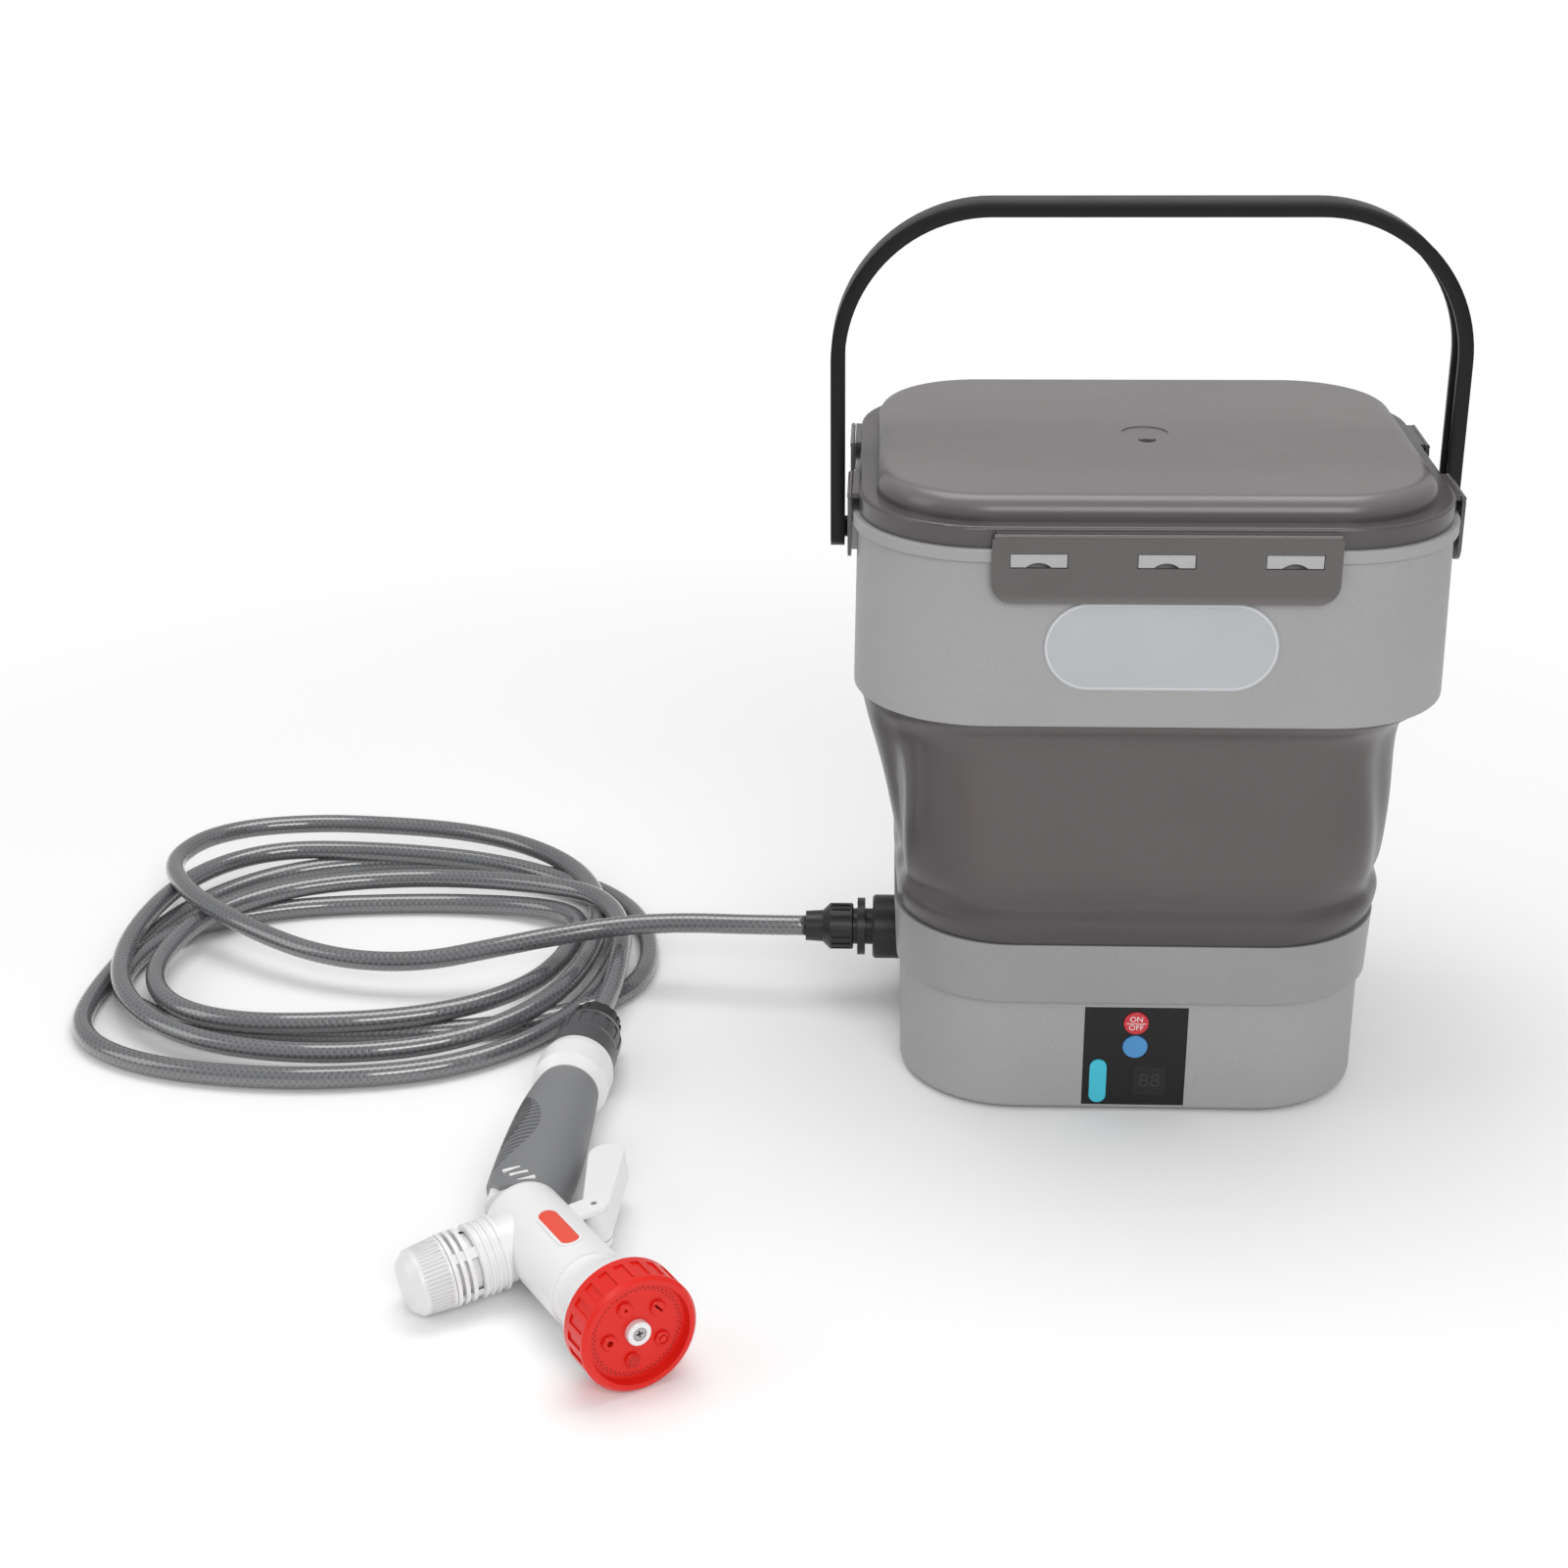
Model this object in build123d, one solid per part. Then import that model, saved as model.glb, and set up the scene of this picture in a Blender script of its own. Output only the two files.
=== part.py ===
from build123d import *
import os
from math import atan2, cos, degrees, radians, sin, tan

# Portable pressure washer: a collapsible rectangular bucket on a pump base, with a clip lid, a bail handle, a
# hose in a loose coil and a spray gun with a dial nozzle. Millimetres, +Z up, front towards -Y. The origin is
# the centre of the bucket's footprint on the floor.

# Pump base
foot_height = 2.0
foot_width = 7.0
foot_inset = 16.0
base_width = 244.0
base_depth = 215.0
base_corner = 60.0
base_wall = 2.6
base_top = 66.5
base_edge = 3.0
deck_thick = 2.5
plate_thick = 3.0
plate_gap = 0.2
pump_foot_x = 14.0
pump_foot_y = 12.0
motor_foot_y = 9.0
board_clip_x = 4.0
board_clip_y = 3.0
board_clip_in = 6.0
board_clip_high = 5.0
board_rise = 3.0
boss_radius = 4.5
boss_sink = 1.0
boss_inward = 8.0
screw_radius = 1.5
screw_head_radius = 3.0
screw_head_height = 1.8
screw_depth = 9.0
pilot_gap = 0.1

# Bucket cup above the base, and the soft sleeve on it
cup_over_x = 4.0
cup_over_y = 5.0
cup_corner = 61.0
cup_flare = 1.4
cup_height = 34.1
cup_wall = 2.6
cup_floor = 3.0
sleeve_height = 126.4
sleeve_wall = 2.0

# Upper band with its rim
band_width = 295.6
band_depth = 254.6
band_corner = 65.0
band_flare = 1.5
band_height = 84.3
band_wall = 2.6
rim_over = 2.3
rim_height = 5.9

# Lid and its clips
lid_inset = 2.9
lid_skirt = 10.5
lid_wall = 2.2
crown_inset = 9.0
crown_height = 11.5
crown_round = 9.0
lip_depth = 9.0
lip_gap = 1.6
seal_height = 4.0
seal_gap = 0.3
vent_radius = 4.5
vent_forward = 14.5
dish_radius = 12.0
dish_depth = 0.6
clip_thick = 1.8
clip_drop = 33.0
clip_roll = 1.2
clip_air = 0.8
clip_corner = 10.0
front_clip_width = 164.0
side_clip_width = 42.0
side_clip_place = 46.0
slot_width = 27.4
slot_height = 7.2
slot_pitch = 60.0
slot_drop = 8.2
tab_gap = 0.3

# Bail handle
handle_width = 322.0
handle_top = 457.7
handle_corner = 80.0
handle_thick = 7.2
handle_depth = 20.0
channel_depth = 3.6
channel_width = 13.0
pivot_drop = 23.0
pivot_gap = 0.05
peg_radius = 5.5
ear_thick = 5.0
ear_width = 25.0
ear_rise = 10.5
peg_short = 0.4

# Label plate on the band
label_width = 112.0
label_height = 44.0
label_thick = 0.6
label_middle = 268.5

# Control panel, measured from its lower edge
panel_width = 53.6
panel_height = 58.0
panel_low = 4.8
panel_thick = 1.5
panel_ledge = 1.5
button_radius = 6.5
button_gap = 0.25
button_proud = 0.8
button_travel = 1.2
button_wing = 1.6
button_flange = 1.2
button_round = 0.6
power_rise = 48.8
speed_rise = 34.9
display_side = 16.7
display_right = 8.4
display_rise = 14.4
plug_width = 8.8
plug_height = 25.4
plug_left = 18.6
plug_rise = 14.3
plug_proud = 0.6
plug_pin = 3.0
plug_pin_length = 6.0
plug_gap = 0.3
socket_gap = 1.0
charge_half = 5.0
display_gap = 0.3
board_back = 14.0
board_thick = 1.6
board_width = 66.0
board_height = 50.0
switch_side = 6.0
switch_air = 0.3
switch_depth = 3.2

# Pump, motor and battery
outlet_side = 20.0
outlet_rise = 44.0
pump_width = 44.0
pump_depth = 40.0
pump_low = 22.0
pump_high = 14.0
pump_round = 4.0
pump_cover = 3.0
spigot_length = 4.0
pump_left = 75.0
motor_radius = 18.0
motor_length = 48.0
motor_rise = 36.0
can_wall = 1.6
shaft_radius = 2.0
rotor_radius = 13.5
shaft_gap = 0.05
cam_radius = 9.0
cam_throw = 2.0
pump_room = 12.0
pump_room_long = 16.0
tube_radius = 5.0
tube_wall = 1.5
tube_gap = 0.3
tube_bend = 16.0
strainer_radius = 13.0
strainer_height = 6.0
cell_radius = 9.1
cell_length = 65.0
cell_pitch = 19.4
cell_count = 3
cell_middle = 62.0
tray_wall = 2.0
tray_gap = 0.2

# Outlet fitting and hose nuts
socket_radius = 18.1
socket_length = 15.9
neck_radius = 10.2
neck_length = 11.1
flange_radius = 16.2
flange_thick = 4.3
flange_reach = 4.6
nut_radius = 13.1
nut_length = 14.0
nose_radius = 8.4
nose_length = 12.9
nut_ribs = 16
nut_edge = 0.6
nut_taper = 0.25

# Hose
hose_radius = 5.75
hose_skin = 2.0
bend_share = 0.45
lead_way = [(-209, 20, 44), (-244, 26, 42), (-280, 28, 39), (-318, 22, 35), (-356, 16, 29), (-394, 12, 22),
            (-432, 15, 20), (-466, 25, 21), (-498, 42, 24), (-527, 63, 25), (-556, 94, 16)]
tail_way = [(-284.5, -8, 17)]
tail_straight = 16.0
coil_x = -425.0
coil_y = 70.0
coil_half_x = 161.0
coil_half_y = 170.0
coil_hole_x = 104.0
coil_hole_y = 68.0
coil_hole_shift_x = -10.0
coil_hole_shift_y = -22.0
coil_height = 24.0
coil_round = 7.0

# Spray gun, lying on its side. The middle of its valve body is at gun_x, gun_y, gun_z, the barrel points
# along its own +X and the trigger side is its own +Y.
gun_x = -287.0
gun_y = -266.5
gun_z = 22.2
gun_turn = -58.6
gun_rise = 3.7
gun_roll = 4.4
barrel_radius = 19.8
barrel_side = 3.5
barrel_back = 30.0
barrel_front = 52.0
barrel_round = 9.0
bore_radius = 8.0
cone_length = 26.0
cone_radius = 27.2
cone_wall = 2.5
# Along the cone from the barrel, how far its ring sits to the port's side, and the ring's radius
cone_rings = [(0, 3.5, 18.4), (6, 2.6, 18.9), (14, 1.0, 22.4), (22, 0.0, 26.4), (26, 0.0, 27.2)]
dial_radius = 28.0
dial_length = 19.7
dial_gap = 0.3
dial_wall = 3.4
dial_recess = 4.0
dial_ribs = 22
hub_radius = 5.8
hub_gap = 0.08
hub_lap = 1.2
hub_proud = 3.2
hub_seat = 1.6
hub_screw_head = 2.9
post_radius = 4.0
nozzle_ring = 13.8
nozzle_turn = 36.0
nozzle_count = 5
nozzle_step = 72.0
nozzle_radius = 3.6
nozzle_holes = [0.8, 1.5, 1.1]
feed_radius = 3.0
grip_angle = 143.3
grip_back = 36.0
grip_length = 110.0
grip_skin = 2.2
barrel_skin = 1.0
# Along the grip, half width, half depth, and shift to the trigger side
grip_sections = [(-8, 19.0, 17.0, 1.5), (24, 21.6, 17.6, 1.6), (60, 21.2, 17.6, 0.4), (88, 19.4, 16.8, -0.4),
                 (110, 16.4, 15.8, 0.0)]
# Corners of the pad's edge on the grip, seen from above, with its point towards the barrel
pad_edge = [(12, 60), (12, 19.5), (-10.4, 4.5), (3, -27), (3, -60)]
pad_slots = [(6.5, 3.0), (2.4, -1.5), (-1.6, -5.9)]
pad_slot_length = 9.0
pad_slot_width = 2.2
pad_slot_turn = -67.0
tail_radius = 20.4
tail_length = 26.5
plug_radius = 7.0
plug_length = 17.0
plug_root = 11.0
grip_bore = 3.5
coupler_radius = 18.3
coupler_length = 36.0
coupler_core = 13.0
coupler_travel = 3.0
coupler_air = 0.3
coupler_lip = 1.6
coupler_waist = 0.8
gun_nut_radius = 14.2
gun_nut_length = 13.0
port_along = -5.5
port_radius = 17.6
port_start = 25.2
port_length = 26.5
port_wall = 3.0
port_neck = 1.5
port_bore = 5.0
thread_length = 13.0
cage_rings = 3
cage_ring_thick = 2.0
cage_bar = 5.0
cap_gap = 0.3
cap_wall = 3.4
cap_radius = 17.4
cap_length = 19.0
cap_ribs = 28
trigger_x = 2.0
trigger_y = 23.5
trigger_root = 6.5
trigger_tip_x = -41.0
trigger_tip_y = 50.0
trigger_tip = 9.3
trigger_half = 8.0
trigger_wall = 2.0
lug_thick = 2.5
lug_air = 0.3
pin_radius = 1.5
pin_gap = 0.05
stem_radius = 2.5
stem_x = -14.0
stem_gap = 0.05
stem_tip = 0.3
poppet_radius = 5.5
poppet_thick = 3.0
screw_places = [(40.0, -11.5), (82.0, -8.5)]
gun_screw_head = 3.0
gun_screw_seat = -9.5
gun_screw_end = 9.0
pad_ribs = 17
pad_rib_start = 34.0
pad_rib_pitch = 3.5
pad_rib_deep = 1.0
pad_rib_edge = 7.0
pad_rib_bow = 11.0
sticker_length = 33.0
sticker_width = 9.0
sticker_rim = 1.4
sticker_rim_high = 0.7
sticker_thick = 0.4
sticker_along = 24.5

# Levels and half sizes that follow
cup_width = base_width + 2 * cup_over_x
cup_depth = base_depth + 2 * cup_over_y
base_x = base_width / 2
base_y = base_depth / 2
front = -base_y
cup_x = cup_width / 2
cup_y = cup_depth / 2
cup_top = base_top + cup_height
band_x = band_width / 2
band_y = band_depth / 2
band_low = cup_top + sleeve_height
band_top = band_low + band_height
pivot_height = band_top - pivot_drop
rim_x = band_x - band_flare + rim_over
rim_y = band_y - band_flare + rim_over
rim_corner = band_corner - band_flare + rim_over
rim_top = band_top + rim_height
lid_x = rim_x - lid_inset
lid_y = rim_y - lid_inset
lid_corner = rim_corner - lid_inset
lid_top = rim_top + lid_skirt
throat_x = band_x - band_flare - band_wall
throat_y = band_y - band_flare - band_wall
throat_corner = band_corner - band_flare - band_wall
hinge_height = lid_top - clip_roll - 2.0
hinge_out = clip_air + clip_thick / 2
outlet_wall = -base_x
socket_end = outlet_wall - socket_length
neck_end = socket_end - neck_length
nut_end = neck_end - nut_length
hose_start = nut_end - nose_length
plate_top = foot_height + plate_thick
board_low = plate_top + board_rise
motor_start = outlet_side + pump_depth / 2
motor_middle = motor_start + motor_length / 2

gun = Pos(gun_x, gun_y, gun_z) * Rot(Z=gun_turn) * Rot(Y=-gun_rise) * Rot(X=gun_roll)
grip = gun * Pos(-grip_back, 0, 0) * Rot(Z=grip_angle)
tail_end = grip_length + tail_length
coupler_end = tail_end + coupler_length + coupler_travel + 2 * coupler_air
gun_nut_end = coupler_end + gun_nut_length


def slab(half_x, half_y, corner, low, high):
    return Pos(0, 0, low) * extrude(RectangleRounded(2 * half_x, 2 * half_y, corner), high - low)


def tapered(low_size, high_size, low, high):
    lower = Pos(0, 0, low) * RectangleRounded(2 * low_size[0], 2 * low_size[1], low_size[2])
    upper = Pos(0, 0, high) * RectangleRounded(2 * high_size[0], 2 * high_size[1], high_size[2])
    return loft([lower, upper], ruled=True)


def block(x, y, z):
    middle = Pos((x[0] + x[1]) / 2, (y[0] + y[1]) / 2, (z[0] + z[1]) / 2)
    return middle * Box(x[1] - x[0], y[1] - y[0], z[1] - z[0])


def rod_x(start, end, radius):
    return Pos((start + end) / 2, 0, 0) * Rot(Y=90) * Cylinder(radius, abs(end - start))


def rod_y(start, end, radius):
    return Pos(0, (start + end) / 2, 0) * Rot(X=90) * Cylinder(radius, abs(end - start))


def rod_z(start, end, radius):
    return Pos(0, 0, (start + end) / 2) * Cylinder(radius, abs(end - start))


def turned(points):
    return revolve(make_face(Polyline(*points, close=True)), Axis.X)


def ribbed(body, radius, start, end, count, depth=0.7, share=0.45):
    width = 2 * radius * sin(radians(180 / count)) * share
    groove = Pos((start + end) / 2, 0, radius) * Box(abs(end - start), width, 2 * depth)
    return body - [Rot(X=turn * 360 / count) * groove for turn in range(count)]


# Pump base

def base_shell():
    shell = slab(base_x, base_y, base_corner, foot_height, base_top)
    shell = fillet(shell.edges().group_by(Axis.Z)[0], base_edge)
    shell -= slab(base_x - base_wall, base_y - base_wall, base_corner - base_wall, foot_height,
                  base_top - deck_thick)
    shell += [Pos(x, y, 0) * rod_z(plate_top, base_top - deck_thick, boss_radius) for x, y in boss_places()]
    shell -= [Pos(x, y, 0) * rod_z(plate_top, plate_top + screw_depth, screw_radius + pilot_gap)
              for x, y in boss_places()]
    recess = Pos(0, front, panel_low + panel_height / 2) * Box(panel_width, 2 * panel_thick, panel_height)
    window = Pos(0, front, panel_low + panel_height / 2)
    window *= Box(panel_width - 2 * panel_ledge, 4 * base_wall, panel_height - 2 * panel_ledge)
    shell -= recess
    shell -= window
    outlet = rod_x(-2 * base_wall, 2 * base_wall, tube_radius + tube_gap)
    shell -= Pos(outlet_wall, outlet_side, outlet_rise) * outlet
    shell -= Pos(0, outlet_side, 0) * rod_z(base_top - 2 * deck_thick, base_top + 1, tube_radius + tube_gap)
    return shell


def boss_places():
    side_x = base_x - base_wall - boss_radius + boss_sink
    side_y = base_y - base_wall - boss_radius + boss_sink
    span_x = base_x - base_corner - boss_inward
    span_y = base_y - base_corner
    corners = [(i * span_x, j * side_y) for i in (-1, 1) for j in (-1, 1)]
    return [(side_x, 0), (-side_x, -span_y)] + corners


def base_plate():
    inset = base_wall + plate_gap
    plate = slab(base_x - inset, base_y - inset, base_corner - inset, foot_height, plate_top)
    for x, y in boss_places():
        sink = rod_z(foot_height, foot_height + screw_head_height, screw_head_radius + pilot_gap)
        plate -= Pos(x, y, 0) * (sink + rod_z(foot_height, plate_top, screw_radius + pilot_gap))
    foot_x = (-pump_foot_x, pump_foot_x)
    foot = block(foot_x, (-pump_foot_y, pump_foot_y), (plate_top, outlet_rise - pump_low))
    plate += Pos(-pump_left, outlet_side, 0) * foot
    cradle = block(foot_x, (-motor_foot_y, motor_foot_y), (plate_top, motor_rise))
    cradle -= Pos(0, 0, motor_rise) * rod_y(-motor_foot_y - 1, motor_foot_y + 1, motor_radius)
    plate += Pos(-pump_left, motor_middle, 0) * cradle
    board_y = front + board_back
    slit = block((-board_clip_x - 1, board_clip_x + 1), (-board_thick / 2, board_thick / 2),
                 (board_low, board_low + 2 * board_clip_high))
    clip = block((-board_clip_x, board_clip_x), (-board_clip_y, board_clip_y),
                 (plate_top, board_low + board_clip_high)) - slit
    for side in (-1, 1):
        plate += Pos(side * (board_width / 2 - board_clip_in), board_y + board_thick / 2, 0) * clip
    return plate


def foot_ring():
    outer = slab(base_x - foot_inset, base_y - foot_inset, base_corner - foot_inset, 0, foot_height)
    inset = foot_inset + foot_width
    return outer - slab(base_x - inset, base_y - inset, base_corner - inset, 0, foot_height)


def base_screws():
    head = rod_z(foot_height + 0.1, foot_height + screw_head_height, screw_head_radius)
    shank = rod_z(foot_height + screw_head_height, plate_top + screw_depth - 1, screw_radius)
    return [Pos(x, y, 0) * (head + shank) for x, y in boss_places()]


# Control panel and what is behind it

def panel_plate():
    plate = Pos(0, front + panel_thick / 2, panel_low + panel_height / 2)
    plate *= Box(panel_width, panel_thick, panel_height)
    for rise in (power_rise, speed_rise):
        plate -= Pos(0, front, panel_low + rise) * rod_y(-5, 5, button_radius + button_gap)
    plate -= Pos(display_right, front, panel_low + display_rise) * Box(display_side, 8, display_side)
    hole = RectangleRounded(plug_width + 2 * plug_gap, plug_height + 2 * plug_gap,
                            plug_width / 2 + plug_gap - 0.01)
    plate -= Pos(-plug_left, front + 5, panel_low + plug_rise) * Rot(X=90) * extrude(hole, 10)
    return plate


def display_window():
    pane = Box(display_side, panel_thick, display_side)
    return Pos(display_right, front + panel_thick / 2, panel_low + display_rise) * pane


def push_button(rise):
    back = front + board_back - switch_depth - switch_air - button_travel
    inside = front + panel_thick
    button = rod_y(front - button_proud, inside + button_flange, button_radius)
    button = fillet(button.edges().group_by(Axis.Y)[0], button_round)
    wing = button_radius + button_wing
    button += block((-wing, wing), (inside, inside + button_flange), (-switch_side / 2, switch_side / 2))
    button += rod_y(inside, back, switch_side / 2)
    return Pos(0, 0, panel_low + rise) * button


def circuit_board():
    y = front + board_back
    half = board_width / 2
    return block((-half, half), (y, y + board_thick), (board_low, board_low + board_height))


def tact_switches():
    y = front + board_back
    half = switch_side / 2
    body = block((-half, half), (y - switch_depth, y), (-half, half))
    return [Pos(0, 0, panel_low + rise) * body for rise in (power_rise, speed_rise)]


def display_module():
    y = front + board_back
    half = display_side / 2 - display_gap
    face = front + panel_thick + display_gap
    return Pos(display_right, 0, panel_low + display_rise) * block((-half, half), (face, y), (-half, half))


def charge_plug():
    cap = RectangleRounded(plug_width, plug_height, plug_width / 2 - 0.01)
    cap = Pos(0, front + panel_thick, 0) * Rot(X=90) * extrude(cap, panel_thick + plug_proud)
    pin = rod_y(front + panel_thick, front + panel_thick + plug_pin_length, plug_pin)
    return Pos(-plug_left, 0, panel_low + plug_rise) * (cap + pin)


def charge_socket():
    y = front + board_back
    face = front + panel_thick + socket_gap
    body = block((-charge_half, charge_half), (face, y), (-charge_half, charge_half))
    body -= rod_y(face - 1, face + plug_pin_length + 1, plug_pin + plug_gap)
    return Pos(-plug_left, 0, panel_low + plug_rise) * body


# Pump, motor and battery

def pump_head():
    x = (-pump_width / 2, pump_width / 2)
    y = (-pump_depth / 2, pump_depth / 2)
    head = block(x, y, (-pump_low, pump_high))
    head = fillet(head.edges().filter_by(Axis.Y), pump_round)
    head += rod_y(-pump_depth / 2 - pump_cover, -pump_depth / 2, pump_high)
    spigot_start = pump_width / 2 - spigot_length / 2
    spigot_end = pump_width / 2 + spigot_length
    for side in (-1, 1):
        head += rod_x(side * spigot_start, side * spigot_end, tube_radius - tube_wall - 0.05)
    room = rod_y(motor_start - pump_room_long, motor_start + 1, pump_room)
    return Pos(-pump_left, outlet_side, outlet_rise) * head - Pos(-pump_left, 0, motor_rise) * room


def motor_can():
    can = rod_y(motor_start, motor_start + motor_length, motor_radius)
    can = fillet(can.edges().group_by(Axis.Y)[-1], 2)
    can -= rod_y(motor_start + can_wall, motor_start + motor_length - can_wall, motor_radius - can_wall)
    can -= rod_y(motor_start - 1, motor_start + can_wall + 1, shaft_radius + shaft_gap)
    can -= rod_y(motor_start + motor_length - can_wall - 1, motor_start + motor_length + 1,
                 shaft_radius + shaft_gap)
    return Pos(-pump_left, 0, motor_rise) * can


def motor_shaft():
    start = motor_start
    shaft = rod_y(start - 12, start + motor_length, shaft_radius)
    shaft += rod_y(start + can_wall + 6, start + motor_length - can_wall - 6, rotor_radius)
    shaft += Pos(0, 0, cam_throw) * rod_y(start - 11, start - 4, cam_radius)
    return Pos(-pump_left, 0, motor_rise) * shaft


def inlet_tube():
    start = -pump_left + pump_width / 2
    line = FilletPolyline((start, outlet_side, outlet_rise), (0, outlet_side, outlet_rise),
                          (0, outlet_side, base_top - 4.5), radius=tube_bend)
    ring = Plane(origin=(start, outlet_side, outlet_rise), z_dir=(1, 0, 0))
    outer = sweep(ring * Circle(tube_radius), path=line)
    inner = sweep(ring * Circle(tube_radius - tube_wall), path=line)
    return outer - inner


def outlet_tube():
    tube = rod_x(-pump_left - pump_width / 2, socket_end + 4, tube_radius)
    tube -= rod_x(-pump_left - pump_width / 2 + 1, socket_end + 3, tube_radius - tube_wall)
    return Pos(0, outlet_side, outlet_rise) * tube


def strainer():
    floor = base_top + cup_floor
    cage = rod_z(floor, floor + strainer_height, strainer_radius)
    cage = fillet(cage.edges().group_by(Axis.Z)[-1], 2)
    cage -= rod_z(floor - 1, floor + strainer_height - 1.6, strainer_radius - 1.6)
    slot = Pos(strainer_radius, 0, floor + strainer_height / 2) * Box(8, 1.6, strainer_height - 3)
    cage -= [Rot(Z=turn * 22.5) * slot for turn in range(16)]
    spout = rod_z(base_top - 4.5, floor + 1.5, tube_radius)
    web = rod_z(floor, floor + 1.5, strainer_radius - 1.0)
    cage += web + spout
    cage -= rod_z(base_top - 5, floor + 2, tube_radius - tube_wall)
    return Pos(0, outlet_side, 0) * cage


def battery_cells():
    first = cell_middle - cell_pitch * (cell_count - 1) / 2
    height = plate_top + tray_wall + tray_gap + cell_radius
    cell = rod_y(-cell_length / 2, cell_length / 2, cell_radius)
    return [Pos(first + cell_pitch * i, 0, height) * cell for i in range(cell_count)]


def battery_tray():
    half = cell_pitch * cell_count / 2 + tray_wall
    long = cell_length / 2 + tray_gap + tray_wall
    top = plate_top + tray_wall + cell_radius
    tray = Pos(cell_middle, 0, 0) * block((-half, half), (-long, long), (plate_top, top))
    first = cell_middle - cell_pitch * (cell_count - 1) / 2
    for i in range(cell_count):
        room = rod_y(-long + tray_wall, long - tray_wall, cell_radius + tray_gap)
        tray -= Pos(first + cell_pitch * i, 0, plate_top + tray_wall + tray_gap + cell_radius) * room
    return tray


# Bucket

def bucket_cup():
    low = (cup_x - cup_flare, cup_y - cup_flare, cup_corner - cup_flare)
    high = (cup_x, cup_y, cup_corner)
    cup = tapered(low, high, base_top, cup_top)
    cup = fillet(cup.edges().group_by(Axis.Z)[0], 1.2)
    inner_low = [size - cup_wall for size in low]
    inner_high = [size - cup_wall for size in high]
    cup -= tapered(inner_low, inner_high, base_top + cup_floor, cup_top)
    cup -= Pos(0, outlet_side, 0) * rod_z(base_top, base_top + cup_floor, tube_radius + tube_gap)
    return cup


# How far up the sleeve each level is, and how far out from the cup's size towards the band's
sleeve_shape = [(0, -0.06), (0.03, -0.04), (0.09, 0.09), (0.16, -0.05), (0.23, 0.07), (0.4, 0.14),
                (0.8, 0.18), (0.88, 0.25), (0.94, 0.5), (0.97, 0.9), (1, 0.95)]


def soft_sleeve():
    def skin(inset):
        levels = []
        for up, out in sleeve_shape:
            x = cup_x + out * (band_x - cup_x) - inset
            y = cup_y + out * (band_y - cup_y) - inset
            corner = cup_corner + out * (band_corner - cup_corner) - inset
            levels.append(Pos(0, 0, cup_top + up * sleeve_height) * RectangleRounded(2 * x, 2 * y, corner))
        return loft(levels, ruled=True)
    return skin(0) - skin(sleeve_wall)


def top_band():
    low = (band_x, band_y, band_corner)
    high = (band_x - band_flare, band_y - band_flare, band_corner - band_flare)
    band = tapered(low, high, band_low, band_top)
    band = fillet(band.edges().group_by(Axis.Z)[0], 1.2)
    rim = slab(rim_x, rim_y, rim_corner, band_top, rim_top)
    band += fillet(rim.edges().group_by(Axis.Z)[-1], 0.8)
    for side in (-1, 1):
        band += ear(side)
    band += clip_tabs()
    band -= tapered([s - band_wall for s in low], [s - band_wall for s in high], band_low, band_top)
    band -= slab(throat_x, throat_y, throat_corner, band_top, rim_top)
    return band


def ear(side):
    outer = wall_at(pivot_height) + ear_thick
    lug = rod_x(side * (band_x - 5), side * outer, ear_width / 2)
    lug = Pos(0, 0, pivot_height) * lug
    lug &= block(sorted((side * (band_x - 5), side * outer)), (-ear_width / 2, ear_width / 2),
                 (pivot_height - ear_rise, pivot_height + ear_rise))
    hole = rod_x(side * (outer - ear_thick + 1.5), side * (outer + 1), peg_radius + pivot_gap)
    return lug - Pos(0, 0, pivot_height) * hole


def wall_at(height):
    return band_x - band_flare * (height - band_low) / band_height


def clip_tabs():
    tabs = []
    for x, y, turn, across in clip_places():
        out = rim_over + clip_air - tab_gap
        tab = block((-slot_width / 2 + tab_gap, slot_width / 2 - tab_gap), (-out, 2.5), slot_span(tab_gap))
        notch = Pos(0, 0, slot_span(tab_gap)[0] - 6.6) * rod_y(-out - 1, 3, 9)
        tab -= notch
        seat = Pos(x, y, 0) * Rot(Z=turn)
        tabs += [seat * Pos(shift, rim_over, 0) * tab for shift in slot_places(across)]
    return tabs


def slot_span(gap):
    high = hinge_height - slot_drop
    return high - slot_height + gap, high - gap


def slot_places(across):
    count = int(across // slot_pitch) + 1
    return [slot_pitch * (i - (count - 1) / 2) for i in range(count)]


def clip_places():
    return [(0, -rim_y, 0, front_clip_width), (0, rim_y, 180, front_clip_width),
            (-rim_x, -side_clip_place, -90, side_clip_width), (-rim_x, side_clip_place, -90, side_clip_width),
            (rim_x, -side_clip_place, 90, side_clip_width), (rim_x, side_clip_place, 90, side_clip_width)]


def clip(place):
    x, y, turn, across = place
    top = hinge_height - clip_roll
    low = hinge_height - clip_drop
    round_low = min(clip_corner, across / 5)
    sheet = Rectangle(across, top - low, align=(Align.CENTER, Align.MIN))
    sheet = fillet(sheet.vertices().group_by(Axis.Y)[0], round_low)
    plate = Pos(0, -clip_air, low) * Rot(X=90) * extrude(sheet, clip_thick)
    span = slot_span(0)
    for shift in slot_places(across):
        slot = block((-slot_width / 2, slot_width / 2), (-clip_air - clip_thick - 1, 0), span)
        plate -= Pos(shift, 0, 0) * slot
    half = across / 2 - 1
    roll = Pos(0, -hinge_out, hinge_height) * rod_x(-half, half, clip_roll)
    neck = block((-half, half), (-clip_air - clip_thick, -clip_air), (top - 1, hinge_height))
    return Pos(x, y, 0) * Rot(Z=turn) * (plate + neck + roll)


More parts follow.
